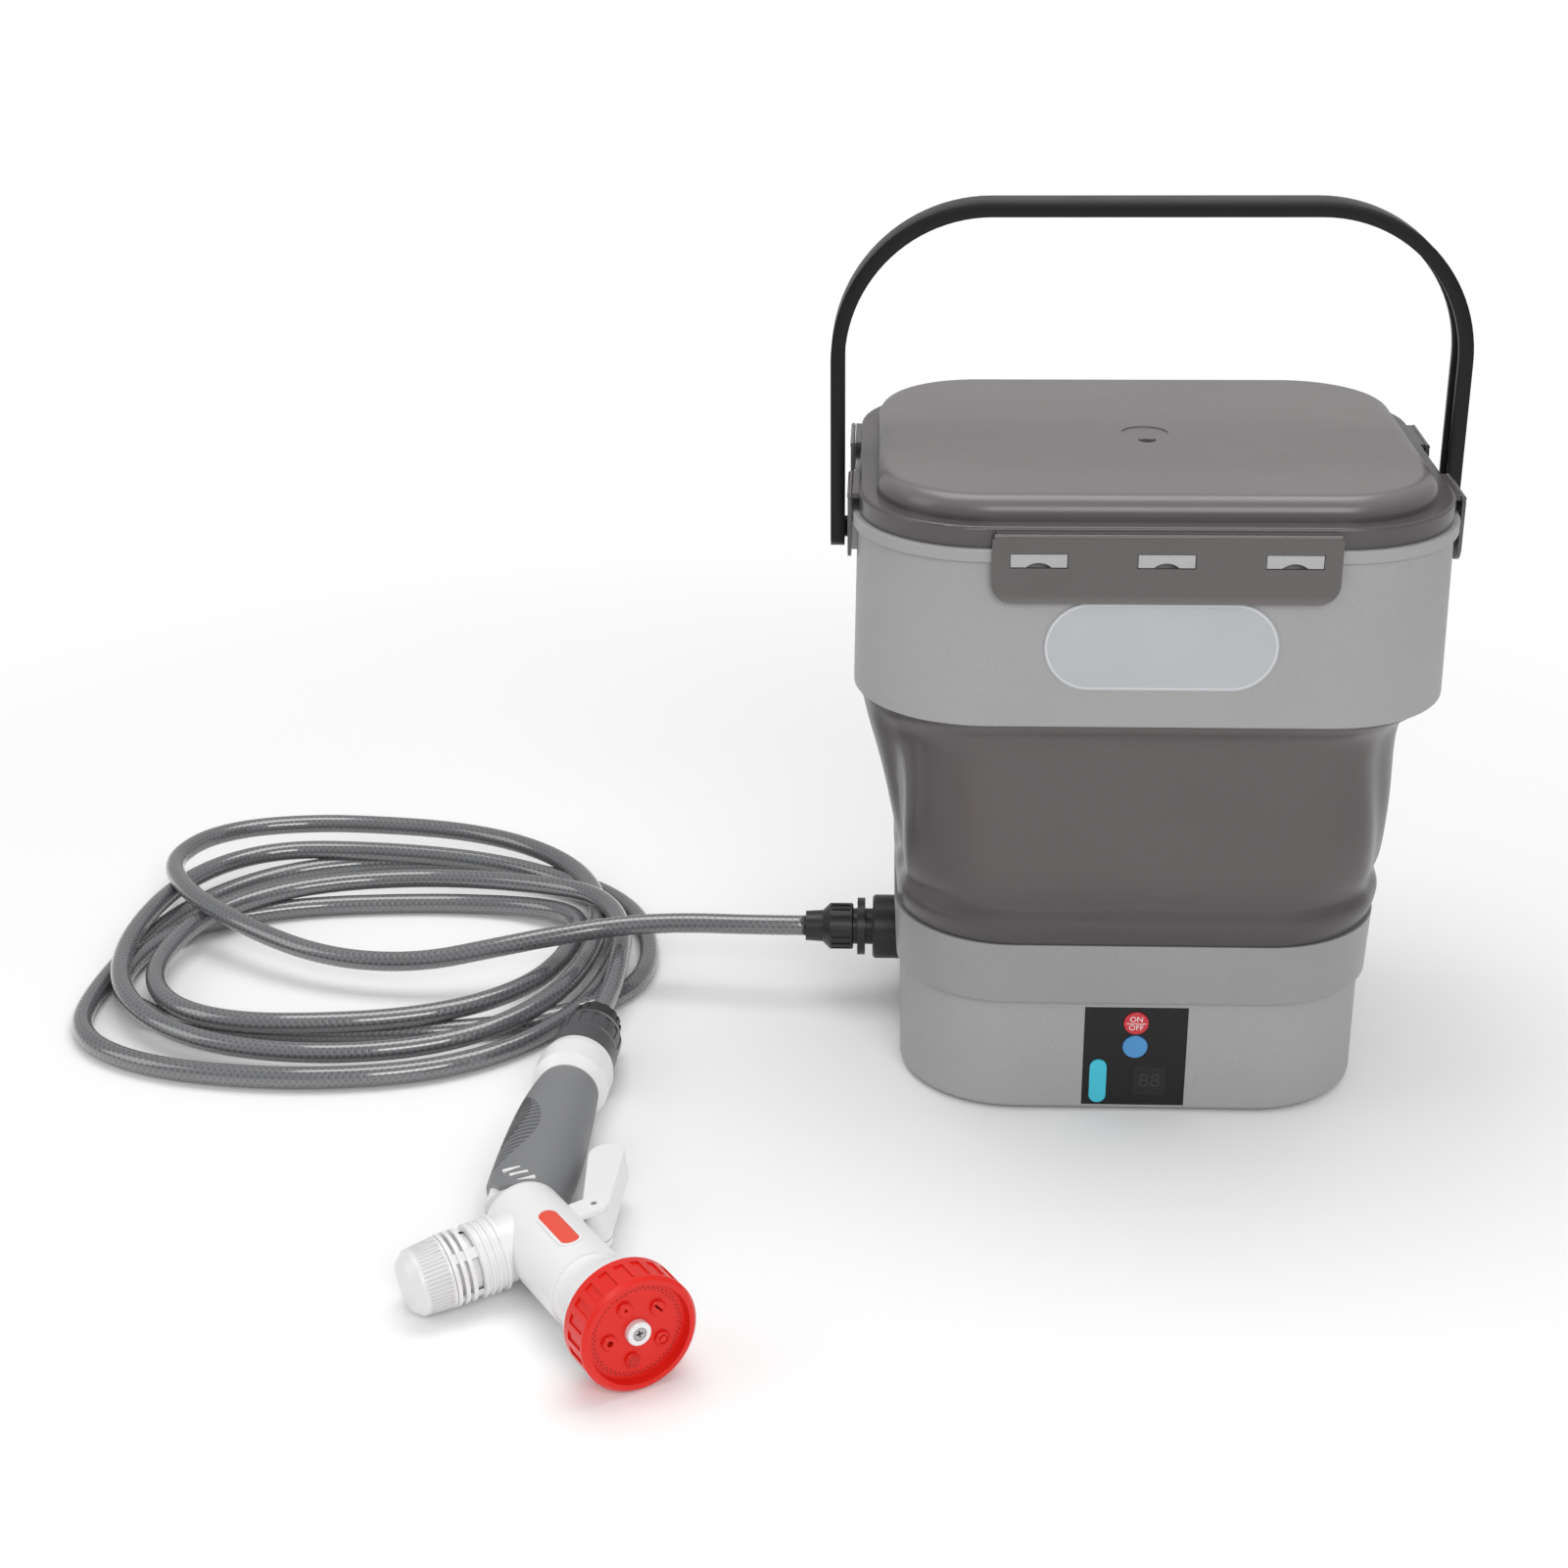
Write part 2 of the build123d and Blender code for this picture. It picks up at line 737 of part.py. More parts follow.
def lid_shell():
    skirt = slab(lid_x, lid_y, lid_corner, rim_top, lid_top)
    skirt = fillet(skirt.edges().group_by(Axis.Z)[-1], 1.6)
    crown_x = lid_x - crown_inset
    crown_y = lid_y - crown_inset
    crown_corner = lid_corner - crown_inset
    crown = slab(crown_x, crown_y, crown_corner, lid_top - 1, lid_top + crown_height)
    lid = skirt + fillet(crown.edges().group_by(Axis.Z)[-1], crown_round)
    lip_x = throat_x - lip_gap
    lip_y = throat_y - lip_gap
    lip_corner = throat_corner - lip_gap
    lid += slab(lip_x, lip_y, lip_corner, rim_top - lip_depth, rim_top + 1)
    hollow = slab(lip_x - lid_wall, lip_y - lid_wall, lip_corner - lid_wall,
                  rim_top - lip_depth, lid_top - lid_wall)
    dome = slab(crown_x - lid_wall, crown_y - lid_wall, crown_corner - lid_wall, rim_top,
                lid_top + crown_height - lid_wall)
    lid -= hollow
    lid -= fillet(dome.edges().group_by(Axis.Z)[-1], crown_round - lid_wall)
    plateau = lid_top + crown_height
    lid -= Pos(0, -vent_forward, 0) * rod_z(plateau - 2 * lid_wall, plateau + 1, vent_radius)
    lid -= rod_z(plateau - dish_depth, plateau + 1, dish_radius)
    lid += [Pos(x, y, 0) * Rot(Z=turn) * hinge_ledge(across) for x, y, turn, across in clip_places()]
    return lid


def hinge_ledge(across):
    out = -(hinge_out - clip_roll - 0.3)
    half = across / 2 - 2
    return block((-half, half), (out, lid_inset + 1), (hinge_height - clip_roll, hinge_height + clip_roll))


def lid_seal():
    outer = slab(throat_x - seal_gap, throat_y - seal_gap, throat_corner - seal_gap,
                 rim_top - lip_depth + 1, rim_top - lip_depth + 1 + seal_height)
    return outer - slab(throat_x - lip_gap, throat_y - lip_gap, throat_corner - lip_gap,
                        rim_top - lip_depth, rim_top)


def label_plate():
    tilt = degrees(atan2(band_flare, band_height))
    plate = extrude(RectangleRounded(label_width, label_height, label_height / 2 - 0.01), label_thick)
    y = band_y - band_flare * (label_middle - band_low) / band_height
    return Pos(0, -y, label_middle) * Rot(X=90 - tilt) * plate


# Bail handle

def bail(inset):
    half = handle_width / 2 - inset
    top = handle_top - inset
    corner = handle_corner - inset
    outline = Rectangle(2 * half, top - pivot_height, align=(Align.CENTER, Align.MIN))
    outline = fillet(outline.vertices().group_by(Axis.Y)[-1], corner)
    return outline


def handle():
    strap = bail(0) - bail(handle_thick)
    channel = bail(handle_thick - channel_depth) - bail(handle_thick)
    across = Pos(0, handle_depth / 2, pivot_height) * Rot(X=90)
    body = across * extrude(strap, handle_depth)
    groove = Pos(0, channel_width / 2, pivot_height) * Rot(X=90) * extrude(channel, channel_width)
    groove -= block((-handle_width, handle_width), (-handle_depth, handle_depth),
                    (pivot_height - 1, pivot_height + handle_depth))
    body -= groove
    inner = handle_width / 2 - handle_thick
    peg_end = wall_at(pivot_height) + 1.5 + peg_short
    for side in (-1, 1):
        end = rod_x(side * inner, side * handle_width / 2, handle_depth / 2)
        peg = rod_x(side * peg_end, side * (inner + 1), peg_radius)
        body += Pos(0, 0, pivot_height) * (end + peg)
    return body


# Outlet fitting

def outlet_socket():
    body = turned([(outlet_wall, 0), (outlet_wall, socket_radius), (socket_end + 1.2, socket_radius),
                   (socket_end, socket_radius - 1.2), (socket_end, 0)])
    body -= rod_x(outlet_wall + 1, socket_end + 4, tube_radius + 0.05)
    body -= rod_x(socket_end + 5, socket_end - 1, tube_radius - tube_wall)
    return Pos(0, outlet_side, outlet_rise) * body


def outlet_adaptor():
    near = neck_end + flange_reach + flange_thick / 2
    far = near - flange_thick
    bore = tube_radius - tube_wall
    body = turned([(socket_end, bore), (socket_end, neck_radius), (near, neck_radius), (near, flange_radius),
                   (far, flange_radius), (far, neck_radius), (neck_end, neck_radius), (neck_end, bore)])
    return Pos(0, outlet_side, outlet_rise) * body


def hose_nut(start, out, radius, nose, length, nose_reach):
    # A ribbed nut on an axis along X, from start on, out being -1 or 1, with its nose round the hose
    hole = hose_radius - hose_skin
    shoulder = start + out * (length + nose_reach * nut_taper)
    end = start + out * (length + nose_reach)
    body = turned([(start, hole), (start, radius - nut_edge), (start + out * nut_edge, radius),
                   (start + out * (length - 1), radius), (shoulder, nose + nut_edge), (end, nose),
                   (end, hole)])
    return ribbed(body, radius, start + out * 1.5, start + out * (length - 2), nut_ribs)


def bucket_nut():
    nut = hose_nut(neck_end, -1, nut_radius, nose_radius, nut_length, nose_length)
    return Pos(0, outlet_side, outlet_rise) * nut


# Hose

def tube_along(points):
    runs = [Vector(*points[i + 1]) - Vector(*points[i]) for i in range(len(points) - 1)]
    radii = []
    for before, after in zip(runs, runs[1:]):
        half_turn = radians(before.get_angle(after)) / 2
        radii.append(bend_share * min(before.length, after.length) / tan(half_turn))
    line = FilletPolyline(*points, radius=radii)
    start = Plane(origin=points[0], z_dir=runs[0])
    return sweep(start * Circle(hose_radius), path=line)


def hose_lead():
    return tube_along([(hose_start, outlet_side, outlet_rise)] + lead_way)


def hose_tail():
    ends = [(grip * Pos(along, 0, 0)).position for along in (gun_nut_end, gun_nut_end + tail_straight)]
    return tube_along([(end.X, end.Y, end.Z) for end in ends] + tail_way)


def hose_coil():
    ring = extrude(Ellipse(coil_half_x, coil_half_y), coil_height)
    hole = extrude(Ellipse(coil_hole_x, coil_hole_y), coil_height)
    ring -= Pos(coil_hole_shift_x, coil_hole_shift_y, 0) * hole
    ring = fillet(ring.edges().group_by(Axis.Z)[-1], coil_round)
    return Pos(coil_x, coil_y, 0) * ring


# Quick coupler at the gun's tail, on the grip's own axis along X

def tail_plug():
    start = grip_length + 2
    end = tail_end + plug_length
    plug = turned([(start, 0), (start, plug_root), (tail_end, plug_root), (tail_end, plug_radius),
                   (end, plug_radius), (end, 0)])
    return grip * (plug - rod_x(grip_length, end + 1, grip_bore))


def tail_ring():
    hole = plug_root + 0.2
    ring = turned([(grip_length, hole), (grip_length, tail_radius - 4.5), (grip_length + 5, tail_radius),
                   (tail_end - 7, tail_radius), (tail_end - 1, tail_radius - 1.2), (tail_end - 1, hole)])
    return grip * ring


def coupler_body():
    start = tail_end + coupler_air
    bottom = tail_end + plug_length + 1
    room = plug_radius + coupler_air
    lip = coupler_core + coupler_lip
    core = turned([(start, room), (start, coupler_core), (coupler_end - 2, coupler_core),
                   (coupler_end - 2, lip), (coupler_end, lip), (coupler_end, 3.0), (bottom, 3.0),
                   (bottom, room)])
    return grip * core


def coupler_sleeve():
    start = tail_end + coupler_air
    end = start + coupler_length - 2
    hole = coupler_core + coupler_air
    waist = coupler_radius - coupler_waist
    sleeve = turned([(start, hole), (start, coupler_radius), (start + 14, coupler_radius),
                     (start + 17, waist), (end - 4, waist), (end, waist - 1.2), (end, hole)])
    return grip * ribbed(sleeve, waist, start + 18, end - 5, nut_ribs, depth=0.5)


def gun_nut():
    hole = hose_radius - hose_skin
    nut = turned([(coupler_end, hole), (coupler_end, gun_nut_radius), (coupler_end + 7, gun_nut_radius),
                  (gun_nut_end - 3, gun_nut_radius - 4), (gun_nut_end, nose_radius), (gun_nut_end, hole)])
    return grip * ribbed(nut, gun_nut_radius, coupler_end + 1, coupler_end + 8, nut_ribs)


# Spray gun

def grip_form(skin):
    rings = []
    for along, wide, deep, shift in grip_sections:
        ring = Rot(Y=90) * Rot(Z=90) * Ellipse(wide - skin, deep - skin)
        rings.append(Pos(along, -shift, 0) * ring)
    return grip * loft(rings)


def barrel_form(skin):
    barrel = rod_x(-barrel_back + skin, barrel_front, barrel_radius - skin)
    barrel = fillet(barrel.edges().group_by(Axis.X)[0], barrel_round - skin)
    return gun * Pos(0, -barrel_side, 0) * barrel


def pad_room():
    # All of the gun that the pad covers, seen from above
    far = grip_length - 1
    outline = pad_edge + [(far, pad_edge[-1][1]), (far, pad_edge[0][1])]
    return grip * Pos(0, 0, -far) * extrude(make_face(Polyline(*outline, close=True)), 2 * far)


def label_punch(grow):
    long = sticker_length + 2 * grow
    wide = sticker_width + 2 * grow
    sticker = RectangleRounded(long, wide, wide / 2 - 0.01)
    return Pos(sticker_along, -barrel_side, 0) * extrude(sticker, 2 * barrel_radius)


def barrel_skin_ring(thick):
    inner = rod_x(-barrel_back, barrel_front, barrel_radius)
    return Pos(0, -barrel_side, 0) * (rod_x(-barrel_back, barrel_front, barrel_radius + thick) - inner)


def gun_whole():
    body = barrel_form(0) - pad_room() + barrel_form(barrel_skin) + grip_form(grip_skin)
    extras = [Pos(port_along, 0, 0) * Rot(Z=-90) * rod_x(4, port_start, port_radius - port_neck)]
    for side in (-1, 1):
        z = sorted((side * (trigger_half + lug_air), side * (trigger_half + lug_air + lug_thick)))
        lug = Pos(trigger_x, trigger_y, 0) * rod_z(z[0], z[1], trigger_root)
        lug += block((trigger_x - trigger_root, trigger_x + trigger_root), (bore_radius, trigger_y), z)
        extras.append(lug - Pos(trigger_x, trigger_y, 0) * rod_z(z[0] - 1, z[1] + 1, pin_radius + pin_gap))
    extras.append(barrel_skin_ring(sticker_rim_high) & (label_punch(sticker_rim) - label_punch(0)))
    for extra in extras:
        body += gun * extra
    bore = rod_x(-barrel_back + bore_radius, barrel_front, bore_radius)
    bore += Pos(port_along, 0, 0) * Rot(Z=-90) * rod_x(0, port_start, port_bore)
    stem_hole = Pos(stem_x, 0, 0) * rod_y(0, barrel_radius + 1, stem_radius + stem_gap)
    body -= gun * (bore + stem_hole)
    body -= grip * rod_x(4, grip_length, grip_bore)
    for x, y in screw_places:
        body -= grip * Pos(x, y, 0) * rod_z(-2 * barrel_radius, gun_screw_end, screw_radius + pilot_gap)
        body -= grip * Pos(x, y, 0) * rod_z(-2 * barrel_radius, gun_screw_seat, gun_screw_head + pilot_gap)
    return body


def gun_half(side):
    reach = 400
    half = Pos(0, 0, side * reach / 2) * Box(2 * reach, 2 * reach, reach)
    return gun_whole() & (gun * half)


def grip_pad():
    pad = barrel_form(0) + grip_form(0)
    pad &= pad_room()
    pad -= barrel_form(barrel_skin)
    pad -= grip_form(grip_skin)
    slot = RectangleRounded(pad_slot_length, pad_slot_width, pad_slot_width / 2 - 0.01)
    slot = extrude(slot, 2 * barrel_radius)
    cuts = [grip * Pos(x, y, 0) * Rot(Z=pad_slot_turn) * slot for x, y in pad_slots]
    well = rod_z(-2 * barrel_radius, 0, gun_screw_head + 0.4)
    cuts += [grip * Pos(x, y, 0) * well for x, y in screw_places]
    ribs = grip_form(-1.0) - grip_form(pad_rib_deep)
    middle = (pad_ribs - 1) / 2
    for i in range(pad_ribs):
        edge = pad_rib_edge + pad_rib_bow * ((i - middle) / middle) ** 2
        band = block((-pad_rib_pitch / 4, pad_rib_pitch / 4), (edge, 2 * barrel_radius),
                     (-barrel_radius, barrel_radius))
        cuts.append(ribs & (grip * Pos(pad_rib_start + pad_rib_pitch * i, 0, 0) * band))
    return pad - cuts


def gun_screws():
    head = rod_z(gun_screw_seat - screw_head_height, gun_screw_seat, gun_screw_head)
    shank = rod_z(gun_screw_seat, gun_screw_end, screw_radius)
    return [grip * Pos(x, y, 0) * (head + shank) for x, y in screw_places]


def hub_start():
    return dial_face() - dial_wall - hub_lap


def dial_face():
    return barrel_front + cone_length + dial_gap + dial_length - dial_recess


def nozzle_cone():
    start = barrel_front
    end = start + cone_length
    rings = []
    for along, side, radius in cone_rings:
        rings.append(Pos(start + along, -side, 0) * Rot(Y=90) * Circle(radius))
    room = turned([(start - 1, 0), (start - 1, bore_radius), (start + 5, bore_radius),
                   (start + 13, cone_radius - 9), (end - cone_wall, cone_radius - 3.4), (end - cone_wall, 0)])
    body = loft(rings) - room + rod_x(end - cone_wall, hub_start(), post_radius)
    feed = Pos(end, nozzle_ring, 0) * rod_x(-2 * cone_wall, 1, feed_radius)
    body -= Rot(X=nozzle_turn + nozzle_step) * feed
    return gun * body


def dial_head():
    start = barrel_front + cone_length + dial_gap
    end = start + dial_length
    face = dial_face()
    back = face - dial_wall
    body = turned([(start, dial_radius - 2.6), (start, dial_radius), (end - 1.6, dial_radius),
                   (end, dial_radius - 1.6), (end, dial_radius - 3.8), (face, dial_radius - 4.6),
                   (face, hub_radius + hub_gap), (back, hub_radius + hub_gap), (back, dial_radius - 2.6)])
    body = ribbed(body, dial_radius, start + 4, end - 3, dial_ribs, depth=0.9, share=0.55)
    for i in range(nozzle_count):
        nozzle = turned([(back, 0), (back, nozzle_radius), (face + 1.2, nozzle_radius),
                         (face + 1.8, nozzle_radius - 0.6), (face + 1.8, 0)])
        body += Rot(X=nozzle_turn + nozzle_step * i) * Pos(0, nozzle_ring, 0) * nozzle
    # The first nozzle is a slit, the next three are plain holes, the last is a ring
    slit = Pos((face + back) / 2, nozzle_ring, 0) * Box(dial_recess + dial_wall + 4, 1.0, 5.2)
    body -= Rot(X=nozzle_turn) * slit
    for place, radius in enumerate(nozzle_holes, 1):
        hole = Pos(0, nozzle_ring, 0) * rod_x(back - 1, face + 3, radius)
        body -= Rot(X=nozzle_turn + nozzle_step * place) * hole
    ring = Pos(face + 1.0, nozzle_ring, 0) * (rod_x(0, 2, 2.4) - rod_x(-1, 3, 1.5))
    body -= Rot(X=nozzle_turn - nozzle_step) * ring
    return gun * body


def dial_hub():
    face = dial_face()
    hub = rod_x(hub_start(), face + hub_proud, hub_radius)
    hub = fillet(hub.edges().group_by(Axis.X)[-1], 0.8)
    hub -= rod_x(face + hub_seat, face + 2 * hub_proud, hub_screw_head + 0.4)
    hub -= rod_x(hub_start() - 1, face + hub_proud, screw_radius + pilot_gap)
    return gun * hub


def hub_screw():
    seat = dial_face() + hub_seat
    head = rod_x(seat, seat + 1.2, hub_screw_head)
    shank = rod_x(hub_start(), seat, screw_radius)
    slots = Pos(seat + 1.4, 0, 0) * (Box(1.2, 3.4, 0.8) + Box(1.2, 0.8, 3.4))
    return gun * (head + shank - slots)


def gun_label():
    return gun * (barrel_skin_ring(sticker_thick) & label_punch(-0.05))


def bottle_port():
    start = port_start
    end = start + port_length
    threads = start + thread_length
    inner = port_radius - port_wall
    body = turned([(start, inner), (start, port_radius + 0.6), (start + 1.5, port_radius + 0.6),
                   (start + 1.5, port_radius - 0.6), (threads, port_radius - 0.6), (threads, inner)])
    step = (end - threads - cage_ring_thick) / cage_rings
    ring = rod_x(0, cage_ring_thick, port_radius) - rod_x(-1, cage_ring_thick + 1, inner)
    for i in range(cage_rings):
        body += Pos(threads + step * (i + 1), 0, 0) * ring
    bars = turned([(threads - 0.5, inner), (threads - 0.5, port_radius - 1.2), (end, port_radius - 1.2),
                   (end, inner)])
    keep = [Rot(X=90 * i + 45) * Pos(end, 0, 0) * Box(2 * port_length, cage_bar, 60) for i in range(2)]
    body += bars & (keep[0] + keep[1])
    return gun * Pos(port_along, 0, 0) * Rot(Z=-90) * body


def port_cap():
    start = port_start + port_length + cap_gap
    end = start + cap_length
    cap = turned([(start, 0), (start, cap_radius), (end - 4, cap_radius - 1.4), (end, cap_radius - 5),
                  (end, 0)])
    cap -= rod_x(start - 1, end - 4, cap_radius - cap_wall)
    ribs = ribbed(cap, cap_radius, start + 1, end - 6, cap_ribs, depth=0.5, share=0.5)
    return gun * Pos(port_along, 0, 0) * Rot(Z=-90) * ribs


def trigger():
    def lever(grow, half, shift=0.0):
        line = atan2(trigger_tip_y - trigger_y, trigger_tip_x - trigger_x)
        side_x = -shift * cos(line + radians(90))
        side_y = -shift * sin(line + radians(90))
        root = Pos(trigger_x + side_x, trigger_y + side_y) * Circle(trigger_root + grow)
        tip = Pos(trigger_tip_x + side_x, trigger_tip_y + side_y) * Circle(trigger_tip + grow)
        outline = make_hull(root.edges() + tip.edges())
        return Pos(0, 0, -half) * extrude(outline, 2 * half)
    body = lever(0, trigger_half)
    body = fillet(body.edges().group_by(Axis.Z)[0] + body.edges().group_by(Axis.Z)[-1], 1.0)
    return body, lever


def gun_trigger():
    body, lever = trigger()
    pocket = lever(-trigger_wall, trigger_half - trigger_wall, shift=-3.0)
    solid_root = rod_z(-trigger_half, trigger_half, trigger_x - stem_x + 2 * stem_radius)
    keep = Pos(trigger_x, trigger_y, 0) * solid_root
    body -= pocket - keep
    body -= Pos(trigger_x, trigger_y, 0) * rod_z(-trigger_half - 1, trigger_half + 1, pin_radius + pin_gap)
    return gun * body


def trigger_pin():
    half = trigger_half + lug_air + lug_thick
    return gun * Pos(trigger_x, trigger_y, 0) * rod_z(-half, half, pin_radius)


def valve_stem():
    top = stem_top() - stem_radius
    stem = rod_y(-poppet_thick, top, stem_radius) + Pos(0, top, 0) * Sphere(stem_radius)
    stem += rod_y(0, poppet_thick, poppet_radius)
    return gun * Pos(stem_x, 0, 0) * stem


def stem_top():
    # The stem's round end is stem_tip from the trigger's inner face, which touches both end circles
    long = Vector(trigger_tip_x - trigger_x, trigger_tip_y - trigger_y)
    lean = atan2(long.Y, long.X) + atan2(trigger_tip - trigger_root, long.length) + radians(90)
    reach = trigger_root + stem_tip + stem_radius
    return trigger_y + (reach - (stem_x - trigger_x) * cos(lean)) / sin(lean) + stem_radius


def write(name, made):
    solids = list(made) if isinstance(made, (list, tuple)) else [made]
    whole = Compound(children=[s for shape in solids for s in shape.solids()])
    export_step(whole, f"parts/{name}.step")


def build():
    os.makedirs("parts", exist_ok=True)
    write("base_shell", base_shell())
    write("base_plate", base_plate())
    write("foot_ring", foot_ring())
    write("base_screws", base_screws())
    write("panel_plate", panel_plate())
    write("display_window", display_window())
    write("power_button", push_button(power_rise))
    write("speed_button", push_button(speed_rise))
    write("charge_plug", charge_plug())
    write("charge_socket", charge_socket())
    write("circuit_board", circuit_board())
    write("tact_switches", tact_switches())
    write("display_module", display_module())
    write("pump_head", pump_head())
    write("motor_can", motor_can())
    write("motor_shaft", motor_shaft())
    write("inlet_tube", inlet_tube())
    write("outlet_tube", outlet_tube())
    write("strainer", strainer())
    write("battery_cells", battery_cells())
    write("battery_tray", battery_tray())
    write("bucket_cup", bucket_cup())
    write("soft_sleeve", soft_sleeve())
    write("top_band", top_band())
    write("label_plate", label_plate())
    write("lid_shell", lid_shell())
    write("lid_seal", lid_seal())
    clip_names = ["front_clip", "back_clip", "left_front_clip", "left_back_clip", "right_front_clip",
                  "right_back_clip"]
    for name, place in zip(clip_names, clip_places()):
        write(name, clip(place))
    write("handle", handle())
    write("outlet_socket", outlet_socket())
    write("outlet_adaptor", outlet_adaptor())
    write("bucket_nut", bucket_nut())
    write("hose_lead", hose_lead())
    write("hose_tail", hose_tail())
    write("hose_coil", hose_coil())
    write("tail_plug", tail_plug())
    write("tail_ring", tail_ring())
    write("coupler_body", coupler_body())
    write("coupler_sleeve", coupler_sleeve())
    write("gun_nut", gun_nut())
    write("gun_upper_half", gun_half(1))
    write("gun_lower_half", gun_half(-1))
    write("grip_pad", grip_pad())
    write("gun_screws", gun_screws())
    write("nozzle_cone", nozzle_cone())
    write("dial_head", dial_head())
    write("dial_hub", dial_hub())
    write("hub_screw", hub_screw())
    write("gun_label", gun_label())
    write("bottle_port", bottle_port())
    write("port_cap", port_cap())
    write("gun_trigger", gun_trigger())
    write("trigger_pin", trigger_pin())
    write("valve_stem", valve_stem())


build()
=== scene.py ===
from math import atan2, cos, degrees, exp, pi, radians, sin

import bpy
from mathutils import Matrix, Vector


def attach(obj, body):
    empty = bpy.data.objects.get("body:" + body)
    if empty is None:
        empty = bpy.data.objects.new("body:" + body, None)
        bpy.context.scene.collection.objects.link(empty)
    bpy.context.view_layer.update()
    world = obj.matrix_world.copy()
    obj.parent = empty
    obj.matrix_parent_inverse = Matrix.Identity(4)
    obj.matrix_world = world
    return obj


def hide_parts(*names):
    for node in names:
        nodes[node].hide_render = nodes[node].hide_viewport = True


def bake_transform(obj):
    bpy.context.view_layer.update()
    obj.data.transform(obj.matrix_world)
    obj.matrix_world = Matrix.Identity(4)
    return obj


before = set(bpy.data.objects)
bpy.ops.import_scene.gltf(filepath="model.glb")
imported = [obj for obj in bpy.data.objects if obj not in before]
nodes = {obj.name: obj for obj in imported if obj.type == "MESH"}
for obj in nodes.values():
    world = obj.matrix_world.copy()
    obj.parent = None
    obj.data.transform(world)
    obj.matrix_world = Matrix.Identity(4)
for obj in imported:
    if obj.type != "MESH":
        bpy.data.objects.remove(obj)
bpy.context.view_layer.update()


# Shader maths is written on these: a number or another socket may stand on either side
class Wire:
    def __init__(self, tree, socket):
        self.tree = tree
        self.socket = socket

    def node(self, kind, settings=None, links=None, out=0):
        made = self.tree.nodes.new("ShaderNode" + kind)
        for key, value in (settings or {}).items():
            if key != "stops":
                setattr(made, key, value)
                continue
            ramp = made.color_ramp
            ramp.elements.remove(ramp.elements[1])
            ramp.elements[0].position, ramp.elements[0].color = value[0]
            for place, shade in value[1:]:
                ramp.elements.new(place).color = shade
        for key, value in (links or {}).items():
            if isinstance(value, Wire):
                self.tree.links.new(value.socket, made.inputs[key])
            else:
                made.inputs[key].default_value = value
        return Wire(self.tree, made.outputs[out])

    def maths(self, operation, first, second=0.0):
        return self.node("Math", {"operation": operation}, {0: first, 1: second})

    def __add__(self, other):
        return self.maths("ADD", self, other)

    def __sub__(self, other):
        return self.maths("SUBTRACT", self, other)

    def __rsub__(self, other):
        return self.maths("SUBTRACT", other, self)

    def __mul__(self, other):
        return self.maths("MULTIPLY", self, other)

    __radd__ = __add__


def shade(red, green, blue):  # screen colour, 0 to 255, to the value a shader takes
    def straight(part):
        part = part / 255
        return part / 12.92 if part <= 0.04045 else ((part + 0.055) / 1.055) ** 2.4
    return (straight(red), straight(green), straight(blue), 1.0)


def newFinish(name, settings):
    finish = bpy.data.materials.new(name)
    finish.use_nodes = True
    tree = finish.node_tree
    tree.nodes.clear()
    end = tree.nodes.new("ShaderNodeOutputMaterial")
    skin = tree.nodes.new("ShaderNodeBsdfPrincipled")
    tree.links.new(skin.outputs[0], end.inputs[0])
    for key, value in settings.items():
        skin.inputs[key].default_value = value
    return finish, skin, Wire(tree, tree.nodes.new("ShaderNodeTexCoord").outputs["Object"])


def feed(skin, key, wire):
    wire.tree.links.new(wire.socket, skin.inputs[key])


def mixed(wire, factor, first, second):
    return wire.node("Mix", {"data_type": "RGBA"}, {0: factor, 6: first, 7: second}, 2)


def cloud(wire, scale, detail=3.0, rough=0.5):
    return wire.node("TexNoise", None,
                     {"Vector": wire, "Scale": scale, "Detail": detail, "Roughness": rough})


def ramped(wire, start, end):  # 0 at start and before it, 1 at end and beyond
    slope = (wire - start) * (1 / (end - start))
    return slope.maths("MINIMUM", slope.maths("MAXIMUM", slope, 0.0), 1.0)


def spotted(wire, start, end):  # black up to start, white from end
    return wire.node("ValToRGB", {"stops": [(start, (0, 0, 0, 1)), (end, (1, 1, 1, 1))]}, {0: wire})


def bumped(wire, height, depth, strength=1.0, below=None):
    links = {"Height": height, "Distance": depth, "Strength": strength}
    if below:
        links["Normal"] = below
    return wire.node("Bump", None, links)


# Moulded plastics: a slow drift of tone, fine speckle, and the grain of the mould in bump and gloss
mould = {"shine": 0.5, "coat": 0.0, "coatRough": 0.12, "driftScale": 14.0, "driftDetail": 4.0,
         "speckScale": 1400.0, "speckDetail": 2.0, "speckRough": 0.6, "speckEdge": (0.3, 0.42),
         "glossScale": 60.0, "glossDrift": 0.12, "grain": 1100.0, "grainDetail": 2.0, "grainRough": 0.55,
         "grainDepth": 0.00004, "grainStrength": 0.6, "waveScale": 9.0, "waveDepth": 0.0012,
         "waveStrength": 0.25}


def driftingTone(place, look):
    drift = cloud(place, look["driftScale"], look["driftDetail"])
    return mixed(place, drift, shade(*look["low"]), shade(*look["high"]))


def driftingGloss(place, look):
    return look["rough"] + (cloud(place, look["glossScale"]) - 0.5) * look["glossDrift"]


